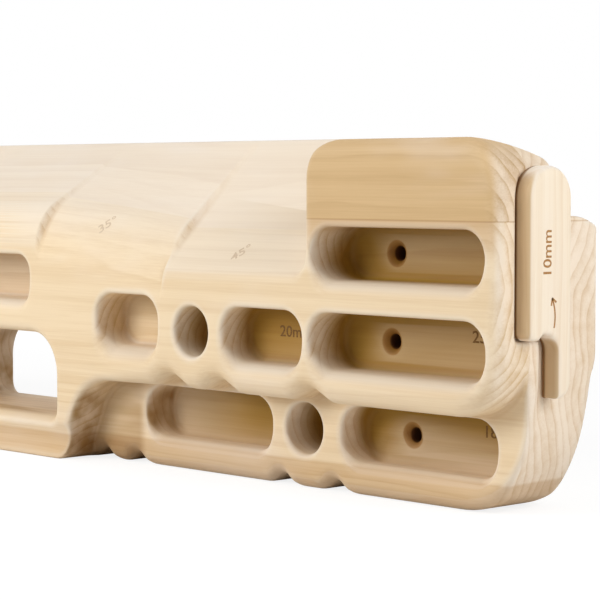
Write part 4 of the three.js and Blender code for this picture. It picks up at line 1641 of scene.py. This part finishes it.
@dataclass
class Insert:
    """The insert that makes a pocket shallower: a round-topped body and a tail."""

    inner_face: float = 372.3
    thickness: float = 10.0
    near: float = -20.8
    far: float = 7.2
    top: float = 154.0
    body_bottom: float = 78.8
    tail_bottom: float = 53.0
    tail_width: float = 9.0
    tail_corner: float = 8.0
    notch_width: float = 12.0
    notch_rise: float = 2.5
    notch_radius: float = 8.0
    outer_edge: float = 2.4
    inner_edge: float = 1.0
    small_corner: float = 3.9
    magnet_holes: MagnetHoles = MagnetHoles()
    grain_step: float = 0.5
    triangles: int = 40_000
    margin: float = 2.0

    @property
    def outer_face(self) -> float:
        """Place of the face that is turned outwards."""
        return self.inner_face + self.thickness

    def _outline(self) -> Outline:
        """Outline of body and tail.

        Returns:
            The outline, y across and z up.
        """
        tail = self.far - self.tail_width
        notch = tail - self.notch_width
        notch_top = self.body_bottom + self.notch_rise
        round_top = (self.far - self.near) / 2
        return Outline([
            Corner(self.near, self.body_bottom, self.small_corner),
            Corner(notch, self.body_bottom),
            Corner(notch + self.notch_rise, notch_top, self.notch_rise),
            Corner(tail, notch_top, self.notch_radius),
            Corner(tail, self.tail_bottom),
            Corner(self.far, self.tail_bottom, self.tail_corner),
            Corner(self.far, self.top, round_top),
            Corner(self.near, self.top, round_top),
        ])

    def build(self, side: Side) -> bpy.types.Object:
        """Works the insert of one end.

        Args:
            side: The end that it is stored on.

        Returns:
            The insert.
        """
        grid = Grid(
            (self.inner_face - self.margin, self.near - self.margin, self.tail_bottom - self.margin),
            (self.outer_face + self.margin, self.far + self.margin, self.top + self.margin),
            self.grain_step,
        )
        x, y, z = grid.spread()
        shape, _ = self._outline().field(grid.y, grid.z)
        solid = meet(shape[None, :, :], x - self.outer_face, self.outer_edge)
        solid = meet(solid, self.inner_face - x, self.inner_edge)
        solid = sanded(self.magnet_holes.cut(solid, x - self.inner_face, y, z))
        name = f"insert_worked_{side.name.lower()}"
        mesh = thinned(Skin(grid, solid).mesh(name), self.triangles)
        shaded_by(mesh, grid, solid)
        if side is Side.LEFT:
            mesh = turned_about(mesh)
        return bpy.data.objects.new(name, mesh)


def turned_about(mesh: bpy.types.Mesh) -> bpy.types.Mesh:
    """Mirrors a mesh about x = 0 and keeps its faces and normals outwards.

    Args:
        mesh: The mesh.

    Returns:
        The same mesh.
    """
    normals = np.array([corner.vector[:] for corner in mesh.corner_normals])
    vertex_of = np.empty(len(mesh.loops), np.int32)
    mesh.loops.foreach_get("vertex_index", vertex_of)
    by_vertex = np.zeros((len(mesh.vertices), 3))
    by_vertex[vertex_of] = normals
    by_vertex[:, 0] *= -1
    mesh.transform(Matrix.Scale(-1, 4, (1, 0, 0)))
    mesh.flip_normals()
    mesh.normals_split_custom_set_from_vertices(by_vertex.astype(np.float32))
    return mesh


@dataclass
class Magnet:
    """A disc magnet with a rounded rim, in the place of its node.

    Attributes:
        rim: Radius of its rim.
        rim_steps: Faces across the rim.
        sides: Faces round it.
        sharp: From what angle an edge is shaded sharp, in degrees.
    """

    rim: float = 0.35
    rim_steps: int = 4
    sides: int = 64
    sharp: float = 40.0

    def build(self, node: str) -> bpy.types.Object:
        """Turns the disc about x.

        Args:
            node: The disc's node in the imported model.

        Returns:
            The disc.
        """
        low, high = (np.array(corner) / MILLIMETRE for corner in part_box(node))
        middle = (low + high) / 2
        half = (high[0] - low[0]) / 2
        radius = (high[2] - low[2]) / 2
        bends = [math.pi / 2 * step / self.rim_steps for step in range(self.rim_steps + 1)]
        rim = [(half - self.rim * (1 - math.sin(b)), radius - self.rim * (1 - math.cos(b))) for b in bends]
        profile = [(-x, r) for x, r in reversed(rim)] + rim
        profile.sort()
        turns = np.linspace(0, 2 * math.pi, self.sides, endpoint=False)
        points = [
            middle + (x, r * math.cos(turn), r * math.sin(turn))
            for x, r in profile
            for turn in turns
        ]
        last = self.sides * (len(profile) - 1)
        ring = [(at, (at + 1) % self.sides) for at in range(self.sides)]
        faces = [
            (row + at, row + after, row + self.sides + after, row + self.sides + at)
            for row in range(0, last, self.sides)
            for at, after in ring
        ]
        faces.append(tuple(reversed(range(self.sides))))
        faces.append(tuple(range(last, last + self.sides)))
        mesh = bpy.data.meshes.new(f"plated_{node}")
        mesh.from_pydata([tuple(point * MILLIMETRE) for point in points], [], faces)
        mesh.shade_smooth()
        mesh.set_sharp_from_angle(angle=math.radians(self.sharp))
        return bpy.data.objects.new(mesh.name, mesh)


@dataclass(frozen=True)
class Mark:
    """A burnt mark of letters.

    Attributes:
        name: Name of the piece.
        words: What it says.
        start: Where its first letter stands, on the surface.
        right: The way that it reads.
        up: The way that its letters stand.
        height: Height of its figures.
        breadth: How much broader than plain letters they are.
        thickness: How far the char stands out of the surface, and reaches into it.
        reach: How far over and under its start the surface is looked for.
    """

    name: str
    words: str
    start: Point
    right: Point
    up: Point
    height: float
    breadth: float = 1.15
    thickness: float = 0.06
    reach: float = 8.0

    def build(self, ground: BVHTree) -> bpy.types.Object:
        """Sets the letters on the surface, as thin as char.

        Args:
            ground: The surface that they are burnt into.

        Returns:
            The letters.
        """
        curve = bpy.data.curves.new(self.name, "FONT")
        curve.body = self.words
        curve.size = self.height / FIGURE_HEIGHT
        curve.extrude = self.thickness
        curve.offset = FIGURE_BURN * curve.size
        curve.resolution_u = 4
        holder = bpy.data.objects.new(self.name, curve)
        bpy.context.scene.collection.objects.link(holder)
        graph = bpy.context.evaluated_depsgraph_get()
        mesh = bpy.data.meshes.new_from_object(holder.evaluated_get(graph))
        bpy.data.objects.remove(holder)
        right = Vector(self.right).normalized()
        up = Vector(self.up).normalized()
        out = right.cross(up)
        for vertex in mesh.vertices:
            across, along, proud = vertex.co
            flat = Vector(self.start) + right * across * self.breadth + up * along
            start = (flat + out * self.reach) * MILLIMETRE
            spot = ground.ray_cast(start, -out, 2 * self.reach * MILLIMETRE)[0]
            vertex.co = (spot or flat * MILLIMETRE) + out * proud * MILLIMETRE
        mesh.name = self.name
        return bpy.data.objects.new(self.name, mesh)


@dataclass(frozen=True)
class Arrow:
    """The thin bent arrow that shows which way the insert pulls out.

    Attributes:
        name: Name of the piece.
        face: Place of the face that it is burnt into.
        path: Its line, bottom to top, as y and z.
        head: Length of its two barbs.
        barb_turn: How far each barb turns from the line, in degrees.
        width: Width of its line.
        thickness: How far the char stands out of the face.
    """

    name: str
    face: float
    path: tuple[tuple[float, float], ...] = ((-5.1, 84.2), (-4.0, 88.5), (-4.3, 92.5), (-6.4, 97.2))
    head: float = 3.4
    barb_turn: float = 32.0
    width: float = 0.9
    thickness: float = 0.06

    def build(self, side: Side) -> bpy.types.Object:
        """Draws the line and its barbs as thin strips.

        Args:
            side: The end of the board.

        Returns:
            The arrow.
        """
        knots = np.array(self.path)
        steps = np.linspace(0, 1, 17)[:, None]
        bent = (
            (1 - steps) ** 3 * knots[0]
            + 3 * (1 - steps) ** 2 * steps * knots[1]
            + 3 * (1 - steps) * steps**2 * knots[2]
            + steps**3 * knots[3]
        )
        tip = bent[-1]
        back = bent[-3] - tip
        back = back / np.linalg.norm(back)
        strokes = [bent]
        for degrees in (self.barb_turn, -self.barb_turn):
            cos, sin = math.cos(math.radians(degrees)), math.sin(math.radians(degrees))
            barb = np.array([back[0] * cos - back[1] * sin, back[0] * sin + back[1] * cos])
            strokes.append(np.linspace(tip, tip + barb * self.head, 5))
        points: list[Point] = []
        faces: list[tuple[int, ...]] = []
        for stroke in strokes:
            self._strip(stroke, points, faces)
        mesh = bpy.data.meshes.new(self.name)
        mesh.from_pydata([(x * side.value, y, z) for x, y, z in points], [], faces)
        if side is Side.LEFT:
            mesh.flip_normals()
        mesh.transform(Matrix.Scale(MILLIMETRE, 4))
        return bpy.data.objects.new(self.name, mesh)

    def _strip(self, line: np.ndarray, points: list[Point], faces: list[tuple[int, ...]]) -> None:
        """Adds one flat stroke with a little thickness.

        Args:
            line: Its middle.
            points: Where its points are added.
            faces: Where its faces are added.
        """
        ahead = np.gradient(line, axis=0)
        ahead /= np.linalg.norm(ahead, axis=1, keepdims=True)
        aside = np.stack([-ahead[:, 1], ahead[:, 0]], axis=1) * self.width / 2
        first = len(points)
        low, high = self.face, self.face + self.thickness
        for spot, off in zip(line, aside):
            left, right = spot + off, spot - off
            points += [(low, *left), (low, *right), (high, *right), (high, *left)]
        count = len(line)
        for row in range(count - 1):
            here, there = first + 4 * row, first + 4 * row + 4
            for a, b in ((0, 1), (1, 2), (2, 3), (3, 0)):
                faces.append((here + a, there + a, there + b, here + b))
        last = first + 4 * (count - 1)
        faces.append((first, first + 1, first + 2, first + 3))
        faces.append((last + 3, last + 2, last + 1, last))


@dataclass(frozen=True)
class Lamp:
    """A soft square lamp.

    Attributes:
        name: Its name.
        place: Where it hangs, in metres.
        aim: Where it points.
        power: Its power, in watts.
        size: Length of its sides, in metres.
    """

    name: str
    place: Point
    aim: Point
    power: float
    size: float

    def build(self) -> None:
        """Hangs the lamp."""
        lamp = bpy.data.lights.new(self.name, "AREA")
        lamp.energy, lamp.size = self.power, self.size
        holder = bpy.data.objects.new(self.name, lamp)
        holder.location = self.place
        ahead = Vector(self.aim) - Vector(self.place)
        holder.rotation_euler = ahead.to_track_quat("-Z", "Y").to_euler()
        bpy.context.scene.collection.objects.link(holder)


@dataclass
class Studio:
    """A white floor and surround, soft lamps and the camera.

    Attributes:
        lamps: The lamps.
        surround: How strong the white surround is as light.
        floor_size: Length of the floor's sides, in metres.
        floor_drop: How far the floor lies under the board, in millimetres.
        floor_grey: Its colour as it is lit.
        floor_glow: How white it is to the eye beside that.
        floor_white: How much of that white the eye sees at the board.
        floor_fade: From how far out it sees more, and all of it, in metres.
        camera_place: Where the camera stands, in metres.
        camera_turn: How far it stands round to the right, in degrees.
        camera_dip: How far it looks down, in degrees.
        lens: Its focal length.
        sensor: Width of its sensor.
    """

    lamps: tuple[Lamp, ...] = (
        Lamp("front_lamp", (-0.4, -1.35, 0.8), (-0.05, 0.0, 0.08), 18.5, 0.9),
        Lamp("end_lamp", (1.0, 0.05, 0.45), (0.37, 0.0, 0.08), 3.6, 0.5),
        Lamp("top_lamp", (-0.1, -0.1, 1.5), (0.0, 0.0, 0.1), 3.0, 1.0),
        Lamp("rear_lamp", (-0.5, 1.5, 0.3), (0.0, 0.03, 0.07), 6.0, 1.2),
    )
    surround: float = 0.25
    floor_size: float = 8.0
    floor_drop: float = 0.02
    floor_grey: tuple[float, ...] = (0.86, 0.86, 0.86, 1.0)
    floor_glow: float = 1.15
    floor_white: float = 0.72
    floor_fade: Span = (0.5, 1.5)
    camera_place: tuple[float, float, float] = (0.984, -0.7245, 0.1478)
    camera_turn: float = 46.6
    camera_dip: float = 3.165
    lens: float = 130.2
    sensor: float = 36.0

    def build(self) -> None:
        """Sets up floor, surround, lamps and camera."""
        scene = bpy.context.scene
        scene.view_settings.view_transform = "Standard"
        for lamp in self.lamps:
            lamp.build()
        scene.world = self._world()
        self._floor()
        camera = bpy.data.objects.new("camera", bpy.data.cameras.new("camera"))
        camera.data.lens = self.lens
        camera.data.sensor_width = self.sensor
        camera.location = self.camera_place
        tilt = math.radians(90 - self.camera_dip)
        camera.rotation_euler = (tilt, 0.0, math.radians(self.camera_turn))
        scene.collection.objects.link(camera)
        scene.camera = camera

    def _world(self) -> bpy.types.World:
        """A surround that is white to the eye and softer as light.

        Returns:
            The surround.
        """
        shader = Shader("surround", "worlds")
        ways = shader.add("LightPath").outputs
        seen = shader.math("MAXIMUM", ways["Is Camera Ray"], ways["Is Glossy Ray"])
        seen = shader.math("MAXIMUM", seen, ways["Is Transmission Ray"])
        white = shader.add("Background", {"Color": WHITE, "Strength": shader.mix(self.surround, 1.0, seen)})
        shader.add("OutputWorld", {"Surface": white.outputs[0]})
        return shader.owner

    def _floor(self) -> None:
        """A white floor that keeps the board's shadow."""
        half = self.floor_size / 2
        mesh = bpy.data.meshes.new("floor")
        corners = [(-half, -half), (half, -half), (half, half), (-half, half)]
        mesh.from_pydata([(x, y, -self.floor_drop * MILLIMETRE) for x, y in corners], [], [(0, 1, 2, 3)])
        floor = bpy.data.objects.new("floor", mesh)
        shader = Shader("white_floor")
        seen = shader.add("LightPath").outputs["Is Camera Ray"]
        diffuse = shader.add("BsdfDiffuse", {"Color": self.floor_grey})
        glow = shader.add("Emission", {"Color": WHITE, "Strength": self.floor_glow})
        place = shader.add("TexCoord").outputs["Object"]
        away = shader.add("VectorMath", {0: place}, operation="LENGTH").outputs["Value"]
        share = shader.times(seen, shader.mix(self.floor_white, 1.0, shader.ramp(away, self.floor_fade)))
        both = shader.add("MixShader", {0: share, 1: diffuse.outputs[0], 2: glow.outputs[0]})
        shader.add("OutputMaterial", {"Surface": both.outputs[0]})
        mesh.materials.append(shader.owner)
        bpy.context.scene.collection.objects.link(floor)


def skin_of(piece: bpy.types.Object) -> BVHTree:
    """The surface of a piece, to set marks on."""
    corners = [vertex.co[:] for vertex in piece.data.vertices]
    return BVHTree.FromPolygons(corners, [face.vertices[:] for face in piece.data.polygons])


@dataclass
class Hangboard:
    """The whole object: board, inserts, magnets and burnt marks.

    Attributes:
        board: The board.
        insert: An insert.
        magnet: A magnet.
        figure: Height of the burnt figures.
        depth_marks: Each marked pocket, with the left and the foot of its depth.
        slope_marks: Each marked sloper, with its slope, what it says and its left.
        slope_marks_y: How far in the slopes are marked.
        slope_marks_turn: How far they are turned, in radians.
        thickness_mark_y: How far in the insert's thickness is marked, on each end.
        thickness_mark_z: Height of its foot.
        thickness_mark_breadth: How broad its figures are.
    """

    board: Board = field(default_factory=Board)
    insert: Insert = field(default_factory=Insert)
    magnet: Magnet = field(default_factory=Magnet)
    figure: float = 5.3
    depth_marks: tuple[tuple[str, float, float], ...] = (
        ("three", 218.7, 72.7),
        ("wide", 338.7, 75.8),
        ("low_wide", 333.0, 32.0),
    )
    slope_marks: tuple[tuple[str, float, str, float], ...] = (
        ("inner", 37.7, "35°", 93.5),
        ("outer", 45.0, "45°", 199.0),
    )
    slope_marks_y: float = -28.0
    slope_marks_turn: float = math.pi / 4
    thickness_mark_y: tuple[tuple[Side, float], ...] = ((Side.RIGHT, -7.2), (Side.LEFT, -12.5))
    thickness_mark_z: float = 106.0
    thickness_mark_breadth: float = 1.08

    def build(self) -> None:
        """Builds every piece, dresses it and lets it ride on its body."""
        wood = BOARD_WOOD.material()
        board = self.board.build()
        ground = skin_of(board)
        self._place(board, "board", wood, "board")
        insert_wood = INSERT_WOOD.material()
        burn = BURN.material()
        insert_burn = INSERT_BURN.material()
        faint = FAINT_BURN.material()
        nickel = Nickel().material()
        for side in Side:
            name = f"insert_{side.name.lower()}"
            insert = self.insert.build(side)
            self._place(insert, name, insert_wood, name)
            for height in ("upper", "lower"):
                for body, kind in ((name, "insert_magnet"), ("board", "seat_magnet")):
                    node = f"{kind}_{height}_{side.name.lower()}"
                    self._place(self.magnet.build(node), body, nickel, node)
            for mark in self._depth_marks(side):
                self._place(mark.build(ground), "board", burn)
            for mark in self._slope_marks(side):
                self._place(mark.build(ground), "board", faint)
            self._place(self._insert_mark(side).build(skin_of(insert)), name, insert_burn)
            arrow = Arrow(f"pull_arrow_{side.name.lower()}", self.insert.outer_face).build(side)
            self._place(arrow, name, insert_burn)

    def _place(
        self,
        piece: bpy.types.Object,
        body: str,
        material: bpy.types.Material,
        node: str | None = None,
    ) -> None:
        """Puts a piece into the scene.

        Args:
            piece: The piece, in its place.
            body: The body that it rides on.
            material: Its finish.
            node: The node that it stands for, if there is one.
        """
        bpy.context.scene.collection.objects.link(piece)
        piece.data.materials.clear()
        piece.data.materials.append(material)
        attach(piece, body)
        if node:
            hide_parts(node)
        log.info("%s: %d faces on %s", piece.name, len(piece.data.polygons), body)

    def _depth_marks(self, side: Side) -> list[Mark]:
        """The depths, burnt into the back walls of three pockets.

        Args:
            side: The end of the board.

        Returns:
            The marks, in their mirrored places on the left half.
        """
        marks = []
        for name, left, low in self.depth_marks:
            pocket = self.board.pockets[name]
            words = f"{pocket.depth:.0f}mm"
            length = FIGURE_ADVANCE * self.figure * len(words)
            start = (left if side is Side.RIGHT else -left - length, pocket.face + pocket.depth, low)
            piece = f"depth_mark_{name}_{side.name.lower()}"
            marks.append(Mark(piece, words, start, (1, 0, 0), (0, 0, 1), self.figure))
        return marks

    def _slope_marks(self, side: Side) -> list[Mark]:
        """The angles, burnt aslant into the two outer slopers.

        Args:
            side: The end of the board.

        Returns:
            The marks, in their mirrored places on the left half.
        """
        marks = []
        along = Vector((1, 0, 0))
        cos, sin = math.cos(self.slope_marks_turn), side.value * math.sin(self.slope_marks_turn)
        crest = self.board.back - self.board.sloper_setback
        for name, slope, words, x in self.slope_marks:
            lean = math.radians(slope)
            rise = Vector((0, math.cos(lean), math.sin(lean)))
            start = Vector((x, self.slope_marks_y, 0))
            start.z = self.board.height - (crest - start.y) * math.tan(lean)
            if side is Side.LEFT:
                start.x = -x - self.figure
                start += rise * self.figure
            right, up = along * cos + rise * sin, rise * cos - along * sin
            piece = f"slope_mark_{name}_{side.name.lower()}"
            marks.append(Mark(piece, words, tuple(start), right, up, self.figure))
        return marks

    def _insert_mark(self, side: Side) -> Mark:
        """The insert's thickness, burnt upwards into its outer face.

        Args:
            side: The end that the insert is stored on.

        Returns:
            The mark.
        """
        words = f"{self.insert.thickness:.0f}mm"
        name = f"thickness_mark_{side.name.lower()}"
        x = side.value * self.insert.outer_face
        start = (x, dict(self.thickness_mark_y)[side], self.thickness_mark_z)
        up = (0, -side.value, 0)
        return Mark(name, words, start, (0, 0, 1), up, self.figure, self.thickness_mark_breadth)


def main() -> None:
    """Builds the pieces in order and reports each one."""
    logging.basicConfig(level=logging.INFO, format="%(message)s")
    Studio().build()
    Hangboard().build()


if __name__ == "__main__":
    main()
